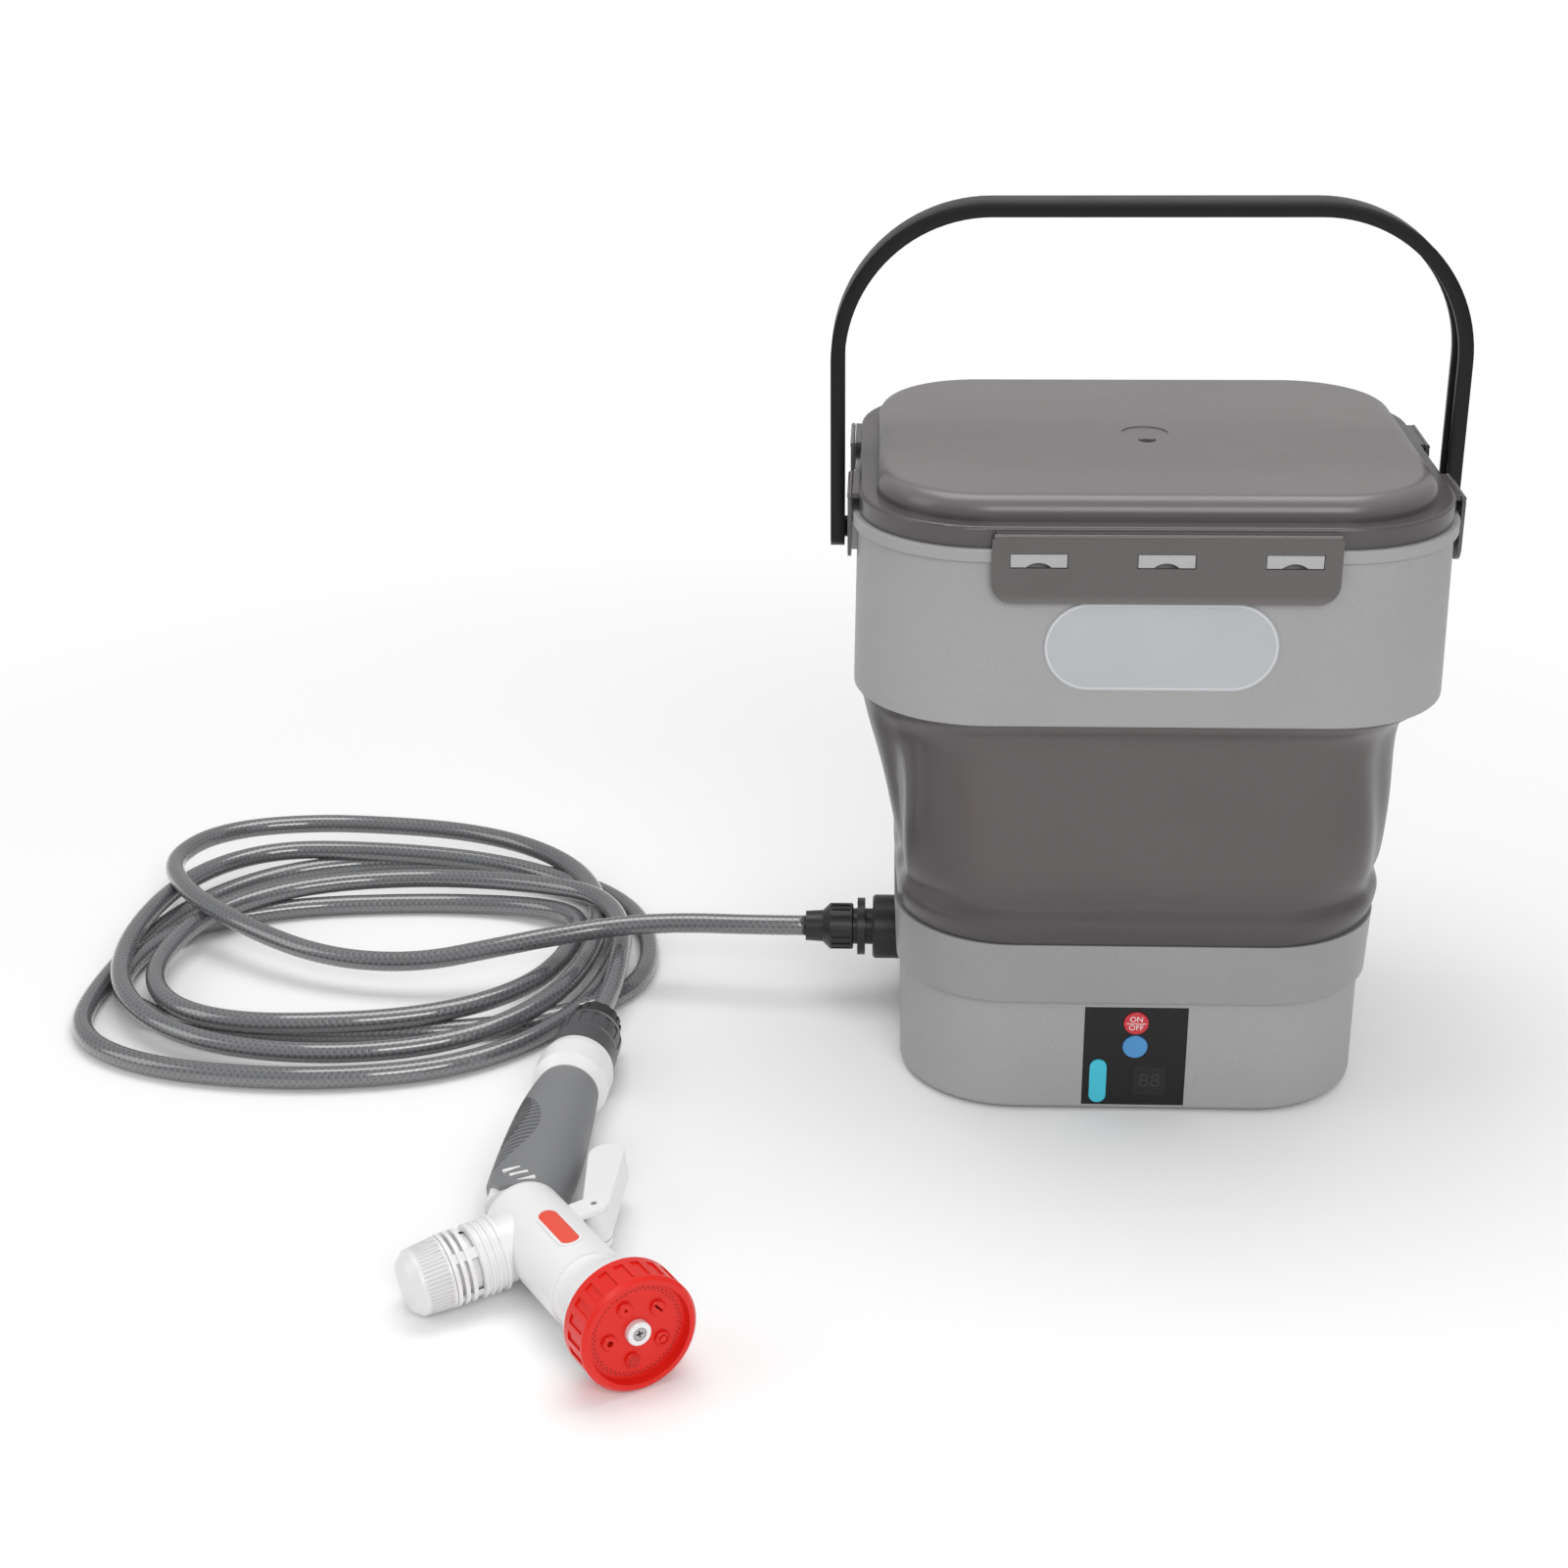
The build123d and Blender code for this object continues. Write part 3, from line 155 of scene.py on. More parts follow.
def mouldedPlastic(name, given):
    look = mould | given
    finish, skin, place = newFinish(name, {"Specular IOR Level": look["shine"], "Coat Weight": look["coat"],
                                           "Coat Roughness": look["coatRough"]})
    speck = cloud(place, look["speckScale"], look["speckDetail"], look["speckRough"])
    feed(skin, "Base Color", mixed(place, spotted(speck, *look["speckEdge"]), shade(*look["speck"]),
                                   driftingTone(place, look)))
    feed(skin, "Roughness", driftingGloss(place, look))
    waves = bumped(place, cloud(place, look["waveScale"], 1.0), look["waveDepth"], look["waveStrength"])
    grain = cloud(place, look["grain"], look["grainDetail"], look["grainRough"])
    feed(skin, "Normal", bumped(place, grain, look["grainDepth"], look["grainStrength"], waves))
    return finish


plastics = {
    "greyPlastic": {"low": (154, 154, 154), "high": (164, 164, 164), "speck": (146, 146, 147),
                    "rough": 0.46, "grain": 1500.0, "grainDepth": 0.00005},
    # A paler copy of the band's grey for the clip tabs: painted light
    "tabPaintedLight": {"low": (168, 168, 168), "high": (178, 178, 178), "speck": (162, 162, 162),
                        "rough": 0.4},
    "cupPlastic": {"low": (140, 140, 140), "high": (152, 152, 152), "speck": (134, 134, 135), "rough": 0.4,
                   "grain": 1500.0, "grainDepth": 0.00004, "coat": 0.1},
    "blackPlastic": {"low": (24, 24, 25), "high": (33, 33, 34), "speck": (38, 38, 39), "rough": 0.36,
                     "grain": 900.0, "grainDepth": 0.00004},
    "handleBlack": {"low": (9, 9, 10), "high": (14, 14, 15), "speck": (18, 18, 19), "rough": 0.34,
                    "grain": 900.0, "grainDepth": 0.00003, "shine": 0.3},
    "collarPlastic": {"low": (66, 67, 69), "high": (78, 79, 81), "speck": (60, 61, 63), "rough": 0.3},
    "whitePlastic": {"low": (231, 230, 231), "high": (241, 240, 241), "speck": (235, 234, 235),
                     "rough": 0.3, "grain": 700.0, "grainDepth": 0.00002, "coat": 0.12},
    "redPlastic": {"low": (216, 28, 18), "high": (230, 36, 24), "speck": (220, 31, 20), "rough": 0.34,
                   "grainDepth": 0.00002, "coat": 0.08, "shine": 0.35},
    # Painted shade: dark red for the dial's holes and near black for the screw's cross
    "holeShadeRed": {"low": (120, 14, 10), "high": (134, 20, 14), "speck": (110, 12, 8), "rough": 0.6},
    "holeShadeBlack": {"low": (22, 22, 23), "high": (30, 30, 31), "speck": (26, 26, 27), "rough": 0.6},
    "labelRed": {"low": (228, 72, 52), "high": (236, 84, 60), "speck": (230, 78, 56), "rough": 0.35},
    "sealRubber": {"low": (38, 38, 40), "high": (50, 50, 52), "speck": (58, 58, 60), "rough": 0.62},
    "footRubber": {"low": (52, 52, 54), "high": (66, 66, 68), "speck": (72, 72, 74), "rough": 0.7},
    "plugCyan": {"low": (52, 182, 205), "high": (74, 196, 216), "speck": (60, 188, 210), "rough": 0.42},
    "buttonRed": {"low": (190, 26, 42), "high": (206, 34, 48), "speck": (196, 30, 46), "rough": 0.3,
                  "coat": 0.4},
    "buttonBlue": {"low": (56, 130, 188), "high": (70, 146, 204), "speck": (62, 138, 196), "rough": 0.3,
                   "coat": 0.4},
    "cellWrap": {"low": (34, 86, 150), "high": (44, 100, 168), "speck": (40, 92, 158), "rough": 0.32},
    "boardGreen": {"low": (18, 74, 44), "high": (30, 92, 56), "speck": (60, 120, 70), "rough": 0.38},
    "pumpBlack": {"low": (30, 31, 33), "high": (42, 43, 46), "speck": (26, 27, 29), "rough": 0.5},
}
finishes = {name: mouldedPlastic(name, look) for name, look in plastics.items()}


# Smoky half-clear plastic of the lid, its flaps and the soft sleeve, with painted shade on the lid's rim
# and the sleeve's foot and sides
smoke = {"lightBend": 1.45, "driftDetail": 3.0, "glossScale": 40.0, "glossDrift": 0.12, "grainDetail": 2.0,
         "grainDepth": 0.00003, "grainStrength": 0.5, "waveDetail": 2.0, "waveStrength": 0.3,
         "sideShadeFrom": 1.0, "sideShadeTo": 2.0}


def smokyPlastic(name, given):
    look = smoke | given
    finish, skin, place = newFinish(name, {"Transmission Weight": look["clear"], "IOR": look["lightBend"],
                                           "Coat Weight": look["coat"],
                                           "Coat Roughness": look["coatRough"]})
    height = place.node("SeparateXYZ", None, {0: place}, 2)
    beside = place.maths("ABSOLUTE", place.node("SeparateXYZ", None, {0: place}, 0))
    # Painted shade on the lid and the sleeve: the edge colour below a height, and on the sleeve also
    # towards its sides
    edge = ramped(height, look["edgeFrom"], look["edgeTo"])
    edge = edge.maths("MAXIMUM", edge, ramped(beside, look["sideShadeFrom"], look["sideShadeTo"]))
    feed(skin, "Base Color", mixed(place, edge, driftingTone(place, look), shade(*look["edge"])))
    feed(skin, "Roughness", driftingGloss(place, look))
    waves = cloud(place, look["waveScale"], look["waveDetail"])
    waves = bumped(place, waves, look["waveDepth"], look["waveStrength"])
    grain = cloud(place, look["grain"], look["grainDetail"])
    feed(skin, "Normal", bumped(place, grain, look["grainDepth"], look["grainStrength"], waves))
    return finish


# The edge colour is painted shade on the lid and the sleeve; on the flaps it makes their lower part lighter
smokes = {
    "lidSmoke": {"low": (108, 103, 104), "high": (118, 113, 113), "rough": 0.3, "clear": 0.0, "coat": 0.25,
                 "coatRough": 0.2, "driftScale": 8.0, "grain": 900.0, "waveScale": 7.0, "waveDepth": 0.001,
                 "edge": (80, 76, 77), "edgeFrom": 0.3389, "edgeTo": 0.3290},
    "flapSmoke": {"low": (90, 85, 85), "high": (100, 95, 95), "rough": 0.26, "clear": 0.2, "coat": 0.4,
                  "coatRough": 0.1, "driftScale": 20.0, "grain": 900.0, "waveScale": 12.0,
                  "waveDepth": 0.0008,
                  "edge": (112, 107, 107), "edgeFrom": 0.2960, "edgeTo": 0.2920},
    "sleeveSmoke": {"low": (84, 78, 78), "high": (94, 88, 88), "rough": 0.36, "clear": 0.08, "coat": 0.3,
                    "coatRough": 0.22, "driftScale": 10.0, "grain": 1300.0, "waveScale": 14.0,
                    "waveDepth": 0.0012, "edge": (70, 66, 67), "edgeFrom": 0.1450, "edgeTo": 0.1020,
                    "sideShadeFrom": 0.085, "sideShadeTo": 0.135},
}
finishes.update({name: smokyPlastic(name, look) for name, look in smokes.items()})


# Hose wall: two sets of yarn crossing under a clear glossy skin, drawn on the tube's own length and turn
hoseLook = {"dark": (40, 41, 43), "light": (116, 117, 120), "yarns": 14.0, "pitch": 0.026,
            "skinRough": 0.2, "coatRough": 0.1, "coatBend": 1.9, "braidDepth": 0.0003,
            "braidStrength": 0.7, "braidTone": 0.55, "driftTone": 0.35, "driftScale": 20.0,
            "braidRough": 0.22, "driftRough": 0.15}


def braidedHose(look):
    finish, skin, place = newFinish("braidedHose", {"Coat Weight": 1.0, "Coat IOR": look["coatBend"],
                                                     "Coat Roughness": look["coatRough"]})
    uv = Wire(place.tree, place.tree.nodes.new("ShaderNodeTexCoord").outputs["UV"])
    turns = uv.node("SeparateXYZ", None, {0: uv}, 0) * (1 / look["pitch"])
    around = uv.node("SeparateXYZ", None, {0: uv}, 1)
    rise = place.maths("SINE", (around + turns) * (pi * look["yarns"]))
    fall = place.maths("SINE", (around - turns) * (pi * look["yarns"]))
    weave = place.maths("MAXIMUM", rise, fall) * 0.5 + 0.5
    drift = cloud(place, look["driftScale"])
    feed(skin, "Base Color", mixed(place, weave * look["braidTone"] + drift * look["driftTone"],
                                   shade(*look["dark"]), shade(*look["light"])))
    feed(skin, "Roughness", look["skinRough"] + (1 - weave) * look["braidRough"]
         + (drift - 0.5) * look["driftRough"])
    feed(skin, "Normal", bumped(place, weave, look["braidDepth"], look["braidStrength"]))
    return finish


finishes["braidedHose"] = braidedHose(hoseLook)


# Metals: screws and shafts, and the motor can, with lines brushed along one way
brush = {"lineScale": 300.0, "lineDetail": 4.0, "lineTone": 0.6, "lineRough": 0.25, "lineDepth": 0.00002,
         "lineStrength": 0.5, "driftScale": 30.0, "driftDetail": 2.0}


def brushedLines(place, stretch):
    stretched = place.node("Mapping", None, {"Vector": place, "Scale": stretch})
    return cloud(stretched, brush["lineScale"], brush["lineDetail"])


def brushedTone(place, look, lines, drift):
    return mixed(place, lines * brush["lineTone"] + drift * (1 - brush["lineTone"]),
                 shade(*look["low"]), shade(*look["high"]))


def brushedMetal(name, look):
    finish, skin, place = newFinish(name, {})
    lines = brushedLines(place, look["stretch"])
    drift = cloud(place, brush["driftScale"], brush["driftDetail"])
    feed(skin, "Base Color", brushedTone(place, look, lines, drift))
    feed(skin, "Metallic", look["metal"] + (drift - 0.5) * look["metalDrift"])
    feed(skin, "Roughness", look["rough"] + (lines - 0.5) * brush["lineRough"])
    feed(skin, "Normal", bumped(place, lines, brush["lineDepth"], brush["lineStrength"]))
    return finish


metals = {
    "screwSteel": {"low": (150, 150, 152), "high": (196, 196, 198), "metal": 0.95, "metalDrift": 0.1,
                   "rough": 0.28, "stretch": (10.0, 10.0, 10.0)},
    "canSteel": {"low": (140, 141, 143), "high": (176, 177, 180), "metal": 0.9, "metalDrift": 0.1,
                 "rough": 0.34, "stretch": (20.0, 1.0, 20.0)},
}
finishes.update({name: brushedMetal(name, look) for name, look in metals.items()})


# The band's label: brushed foil with a pale printed line just inside its edge
labelLook = {"low": (170, 172, 176), "high": (192, 194, 198), "line": (214, 215, 217), "middle": 0.2685,
             "straight": 0.034, "lineIn": 0.0206, "lineOut": 0.0211, "metal": 0.3, "rough": 0.4,
             "stretch": (1.0, 30.0, 30.0)}


def labelFoil(look):
    finish, skin, place = newFinish("labelFoil", {"Metallic": look["metal"]})
    lines = brushedLines(place, look["stretch"])
    tone = brushedTone(place, look, lines, cloud(place, brush["driftScale"], brush["driftDetail"]))
    beside = place.node("SeparateXYZ", None, {0: place}, 0)
    beside = place.maths("MAXIMUM", place.maths("ABSOLUTE", beside) - look["straight"], 0.0)
    above = place.node("SeparateXYZ", None, {0: place}, 2) - look["middle"]
    reach = place.maths("SQRT", beside * beside + above * above)
    line = place.maths("GREATER_THAN", reach, look["lineIn"])
    line = line * place.maths("LESS_THAN", reach, look["lineOut"])
    feed(skin, "Base Color", mixed(place, line, tone, shade(*look["line"])))
    feed(skin, "Roughness", look["rough"] + (lines - 0.5) * brush["lineRough"])
    feed(skin, "Normal", bumped(place, lines, brush["lineDepth"], brush["lineStrength"]))
    return finish


finishes["labelFoil"] = labelFoil(labelLook)


# Glossy films, print and clear tubes, with fine dust and faint wipe marks in the gloss
film = {"clear": 0.0, "shine": 0.35, "coatRough": 0.05, "dust": (120, 120, 122), "dustScale": 2200.0,
        "dustDetail": 2.0, "dustEdge": (0.66, 0.74), "dustTone": 0.25, "wipeScale": 35.0, "wipeDetail": 4.0,
        "wipeEdge": 0.6, "wipeRough": 0.15, "wipeDepth": 0.0002, "wipeStrength": 0.2}


def glossyFilm(name, given):
    look = film | given
    finish, skin, place = newFinish(name, {"Coat Weight": look["coat"], "Coat Roughness": look["coatRough"],
                                           "Specular IOR Level": look["shine"],
                                           "Transmission Weight": look["clear"]})
    wipes = cloud(place, look["wipeScale"], look["wipeDetail"], look["wipeEdge"])
    dust = spotted(cloud(place, look["dustScale"], look["dustDetail"]), *look["dustEdge"])
    tone = mixed(place, wipes, shade(*look["low"]), shade(*look["high"]))
    feed(skin, "Base Color", mixed(place, dust * look["dustTone"], tone, shade(*look["dust"])))
    feed(skin, "Roughness", look["rough"] + wipes * look["wipeRough"])
    feed(skin, "Normal", bumped(place, wipes, look["wipeDepth"], look["wipeStrength"]))
    return finish


films = {
    "panelFilm": {"low": (9, 9, 10), "high": (14, 14, 15), "rough": 0.24, "coat": 0.06},
    "displayFilm": {"low": (20, 17, 18), "high": (26, 23, 24), "rough": 0.16, "coat": 0.15},
    "unlitFilm": {"low": (46, 42, 42), "high": (54, 50, 50), "rough": 0.3, "coat": 0.0},
    "printWhite": {"low": (222, 214, 214), "high": (236, 230, 230), "rough": 0.4, "coat": 0.0},
    "clearTube": {"low": (206, 210, 212), "high": (222, 226, 228), "rough": 0.2, "coat": 0.2, "clear": 0.6},
}
finishes.update({name: glossyFilm(name, look) for name, look in films.items()})


# The gun's own frame, X along its barrel, and those of its grip and its bottle port
gunPlace = Matrix.Translation((-0.287, -0.2665, 0.0222)) @ Matrix.Rotation(radians(-58.6), 4, "Z") \
    @ Matrix.Rotation(radians(-3.7), 4, "Y") @ Matrix.Rotation(radians(4.4), 4, "X")
gripPlace = gunPlace @ Matrix.Translation((-0.036, 0, 0)) @ Matrix.Rotation(radians(143.3), 4, "Z")
portPlace = gunPlace @ Matrix.Translation((-0.0055, 0, 0)) @ Matrix.Rotation(radians(-90), 4, "Z")


def localTo(wire, place):  # coordinates along a place's own axes, in metres
    spot = wire.node("Mapping", {"vector_type": "TEXTURE"},
                     {"Vector": wire, "Location": place.translation, "Rotation": place.to_euler()})
    return [spot.node("SeparateXYZ", None, {0: spot}, axis) for axis in range(3)]


# Grooves across the grip pad within a bow, and the knurl round the port's cap, over the solids' own ribs,
# with painted shade in the grooves
ribbed = {"driftScale": 14.0, "driftDetail": 4.0, "glossScale": 60.0, "glossDrift": 0.12}
# The groove colours are painted shade in the pad's grooves and the cap's knurl
gripPad = {"low": (120, 121, 123), "high": (130, 131, 133), "groove": (76, 77, 79), "rough": 0.52,
           "shine": 0.5, "middle": 0.048, "half": 0.034, "pitch": 0.0038, "edge": -0.0015, "bow": 0.015,
           "fade": 0.0008, "grooveShade": 0.85, "depth": 0.0008, "strength": 0.9, "grain": 1800.0,
           "grainDepth": 0.00005, "grainStrength": 0.5}
portCap = {"low": (222, 221, 222), "high": (232, 231, 232), "groove": (186, 184, 184), "rough": 0.32,
           "coat": 0.1, "coatRough": 0.15, "start": 0.0535, "end": 0.0655, "startFade": 0.0006,
           "endFade": 0.0012, "ridges": 52, "grooveShade": 0.5, "depth": 0.0005, "strength": 0.8}


def ribbedRubber(given):
    look = ribbed | given
    finish, skin, place = newFinish("gripPad", {"Specular IOR Level": look["shine"]})
    along, across = localTo(place, gripPlace)[:2]
    reach = (along - look["middle"]) * (1 / look["half"])
    bow = reach * reach * look["bow"] + look["edge"]
    inside = place.maths("LESS_THAN", place.maths("ABSOLUTE", reach), 1.0)
    inside = inside * ramped(across - bow, 0.0, look["fade"])
    groove = inside * (place.maths("SINE", along * (2 * pi / look["pitch"])) * 0.5 + 0.5)
    # Painted shade: the grooves darkened in the base colour
    feed(skin, "Base Color", mixed(place, groove * look["grooveShade"], driftingTone(place, look),
                                   shade(*look["groove"])))
    feed(skin, "Roughness", driftingGloss(place, look))
    grain = bumped(place, cloud(place, look["grain"], 2.0, 0.55), look["grainDepth"], look["grainStrength"])
    feed(skin, "Normal", bumped(place, 1 - groove, look["depth"], look["strength"], grain))
    return finish


def knurledCap(given):
    look = ribbed | given
    finish, skin, place = newFinish("capPlastic", {"Coat Weight": look["coat"],
                                                    "Coat Roughness": look["coatRough"]})
    along, across, up = localTo(place, portPlace)
    turn = place.maths("ARCTAN2", across, up)
    inside = ramped(along, look["start"], look["start"] + look["startFade"])
    inside = inside * ramped(along, look["end"], look["end"] - look["endFade"])
    groove = (place.maths("SINE", turn * look["ridges"]) * 0.5 + 0.5) * inside
    # Painted shade: the knurl's grooves darkened in the base colour
    feed(skin, "Base Color", mixed(place, groove * look["grooveShade"], driftingTone(place, look),
                                   shade(*look["groove"])))
    feed(skin, "Roughness", driftingGloss(place, look))
    feed(skin, "Normal", bumped(place, 1 - groove, look["depth"], look["strength"]))
    return finish


finishes["gripPad"] = ribbedRubber(gripPad)
finishes["capPlastic"] = knurledCap(portCap)

print("finishes made:", len(finishes))


# What each solid of the frame is finished in
nodeFinishes = {
    "greyPlastic": ["base_shell", "top_band", "base_plate", "soft_sleeve"],
    "cupPlastic": ["bucket_cup"],
    "handleBlack": ["handle"],
    "blackPlastic": ["outlet_socket", "outlet_adaptor", "bucket_nut", "gun_nut", "coupler_body",
                     "battery_tray", "strainer"],
    "collarPlastic": ["coupler_sleeve"],
    "whitePlastic": ["gun_upper_half", "gun_lower_half", "nozzle_cone", "dial_hub", "bottle_port",
                     "gun_trigger", "tail_ring", "tail_plug", "charge_socket", "valve_stem"],
    "redPlastic": ["dial_head"],
    "labelRed": ["gun_label"],
    "gripPad": ["grip_pad"],
    "capPlastic": ["port_cap"],
    "lidSmoke": ["lid_shell"],
    "flapSmoke": ["front_clip", "back_clip", "left_front_clip", "left_back_clip", "right_front_clip",
                  "right_back_clip"],
    "sealRubber": ["lid_seal"],
    "footRubber": ["foot_ring"],
    "plugCyan": ["charge_plug"],
    "buttonRed": ["power_button"],
    "buttonBlue": ["speed_button"],
    "cellWrap": ["battery_cells"],
    "boardGreen": ["circuit_board"],
    "pumpBlack": ["pump_head", "display_module", "tact_switches"],
    "labelFoil": ["label_plate"],
    "screwSteel": ["base_screws", "gun_screws", "hub_screw", "motor_shaft", "trigger_pin"],
    "canSteel": ["motor_can"],
    "panelFilm": ["panel_plate"],
    "displayFilm": ["display_window"],
    "clearTube": ["inlet_tube", "outlet_tube"],
    "braidedHose": ["hose_lead", "hose_tail", "hose_coil"],
}
finished = set()
for finish, names in nodeFinishes.items():
    for name in names:
        for place in nodes[name].material_slots:
            place.material = finishes[finish]
        finished.add(name)
print("nodes left without a finish:", sorted(set(nodes) - finished))


def deselectAll():
    if bpy.context.mode != "OBJECT":
        bpy.ops.object.mode_set(mode="OBJECT")
    bpy.ops.object.select_all(action="DESELECT")


def makeActive(piece):
    deselectAll()
    piece.select_set(True)
    bpy.context.view_layer.objects.active = piece


def settle(piece):  # the object's place goes into its mesh
    makeActive(piece)
    bpy.ops.object.transform_apply(location=True, rotation=True, scale=True)
    return piece


def dress(piece, name, finish, body, *replaced):
    piece.name = name
    piece.data.name = name
    piece.data.materials.clear()
    piece.data.materials.append(finishes[finish])
    if body:
        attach(piece, body)
    if replaced:
        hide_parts(*replaced)
    return piece


# Hose, from the bucket's nut round four and a half loose turns to the gun's nut
hose = {
    "thick": 0.0115,
    "lead": [(-0.1758, 0.020, 0.044), (-0.209, 0.020, 0.044), (-0.244, 0.026, 0.042),
             (-0.280, 0.028, 0.039), (-0.318, 0.022, 0.035), (-0.356, 0.016, 0.029),
             (-0.394, 0.012, 0.022), (-0.432, 0.015, 0.020), (-0.466, 0.025, 0.021),
             (-0.498, 0.042, 0.024), (-0.527, 0.063, 0.027), (-0.553, 0.090, 0.027)],
    # The loops' left, back, right and front ends in turn
    "turnEnds": [(-0.575, 0.131, 0.025), (-0.477, 0.212, 0.018), (-0.299, 0.069, 0.015),
                 (-0.440, -0.078, 0.011), (-0.577, 0.041, 0.019), (-0.488, 0.177, 0.016),
                 (-0.286, 0.076, 0.006), (-0.440, -0.097, 0.007), (-0.587, -0.017, 0.006),
                 (-0.439, 0.181, 0.006), (-0.267, 0.045, 0.006), (-0.450, -0.047, 0.006),
                 (-0.575, 0.021, 0.008), (-0.415, 0.121, 0.006), (-0.312, 0.073, 0.013),
                 (-0.465, -0.055, 0.017), (-0.553, 0.024, 0.017), (-0.400, 0.135, 0.017)],
    "tail": [(-0.322, 0.112, 0.022), (-0.297, 0.088, 0.024), (-0.285, 0.055, 0.024), (-0.283, 0.018, 0.024),
             (-0.284, -0.010, 0.0205), (-0.2872, -0.0316, 0.0186)],
    "guideSteps": 12,
    "guideOrder": 3,
    "nutEnd": 0.1891,  # along the grip, where the hose comes out of the gun's nut
    "quarterSteps": 4,
    "squareness": 0.86,
    "ringStep": 0.004,
    "ringSides": 20,
}


def hoseRoute(gunEnd):
    route = [Vector(point) for point in hose["lead"]]
    ends = [Vector(point) for point in hose["turnEnds"]]
    for number, (here, there) in enumerate(zip(ends, ends[1:])):
        for step in range(hose["quarterSteps"]):
            turn = radians(90 * step / hose["quarterSteps"])
            early = 1 - cos(turn) ** hose["squareness"]
            late = sin(turn) ** hose["squareness"]
            ways = (early, late) if number % 2 == 0 else (late, early)
            way = there - here
            rise = 0.5 - 0.5 * cos(2 * turn)
            route.append(here + Vector((way.x * ways[0], way.y * ways[1], way.z * rise)))
    return route + [ends[-1]] + [Vector(point) for point in hose["tail"]] + [gunEnd]


def smoothLine(name, route):  # close points along a smooth line that follows the route
    curve = bpy.data.curves.new(name, "CURVE")
    curve.dimensions = "3D"
    curve.resolution_u = hose["guideSteps"]
    spline = curve.splines.new("NURBS")
    spline.points.add(len(route) - 1)
    for point, place in zip(spline.points, route):
        point.co = (place.x, place.y, place.z, 1.0)
    spline.order_u = hose["guideOrder"]
    spline.use_endpoint_u = True
    guide = bpy.data.objects.new(name, curve)
    bpy.context.collection.objects.link(guide)
    line = bpy.data.meshes.new_from_object(guide)
    points = [vertex.co.copy() for vertex in line.vertices]
    bpy.data.objects.remove(guide)
    return points


def evenPoints(points, step):  # points at even steps along a line, and its length
    lengths = [0.0]
    for here, there in zip(points, points[1:]):
        lengths.append(lengths[-1] + (there - here).length)
    count = round(lengths[-1] / step)
    even = []
    at = 0
    for i in range(count + 1):
        want = lengths[-1] * i / count
        while at < len(points) - 2 and lengths[at + 1] < want:
            at += 1
        span = max(lengths[at + 1] - lengths[at], 1e-9)
        even.append(points[at].lerp(points[at + 1], (want - lengths[at]) / span))
    return even, lengths[-1]


def tubeMesh(name, points, length, radius, sides):  # its UV is the length in metres and the part of a turn
    side = Vector((0, 1, 0))
    spots, faces = [], []
    for i, point in enumerate(points):
        ahead = (points[min(i + 1, len(points) - 1)] - points[max(i - 1, 0)]).normalized()
        side = (side - ahead * side.dot(ahead)).normalized()
        up = ahead.cross(side)
        for k in range(sides):
            turn = 2 * pi * k / sides
            spots.append(point + radius * (cos(turn) * side + sin(turn) * up))
    for i in range(len(points) - 1):
        for k in range(sides):
            here, beside = i * sides + k, i * sides + (k + 1) % sides
            faces.append((here, beside, beside + sides, here + sides))
    last = (len(points) - 1) * sides
    faces.append(tuple(reversed(range(sides))))
    faces.append(tuple(last + k for k in range(sides)))
    mesh = bpy.data.meshes.new(name)
    mesh.from_pydata(spots, [], faces)
    layer = mesh.uv_layers.new(name="lengthAndTurn")
    corner = 0
    for i in range(len(points) - 1):
        for k in range(sides):
            for ring, way in ((i, k), (i, k + 1), (i + 1, k + 1), (i + 1, k)):
                layer.data[corner].uv = (length * ring / (len(points) - 1), way / sides)
                corner += 1
    for face in mesh.polygons:
        face.use_smooth = True
    piece = bpy.data.objects.new(name, mesh)
    bpy.context.collection.objects.link(piece)
    return piece


def layHose():
    route = hoseRoute(gripPlace @ Vector((hose["nutEnd"], 0, 0)))
    points, length = evenPoints(smoothLine("hoseGuide", route), hose["ringStep"])
    piece = tubeMesh("hoseTube", points, length, hose["thick"] / 2, hose["ringSides"])
    dress(piece, "hoseTube", "braidedHose", "base", "hose_lead", "hose_tail", "hose_coil")
    print("hose laid, metres:", round(length, 3))
    return piece


layHose()


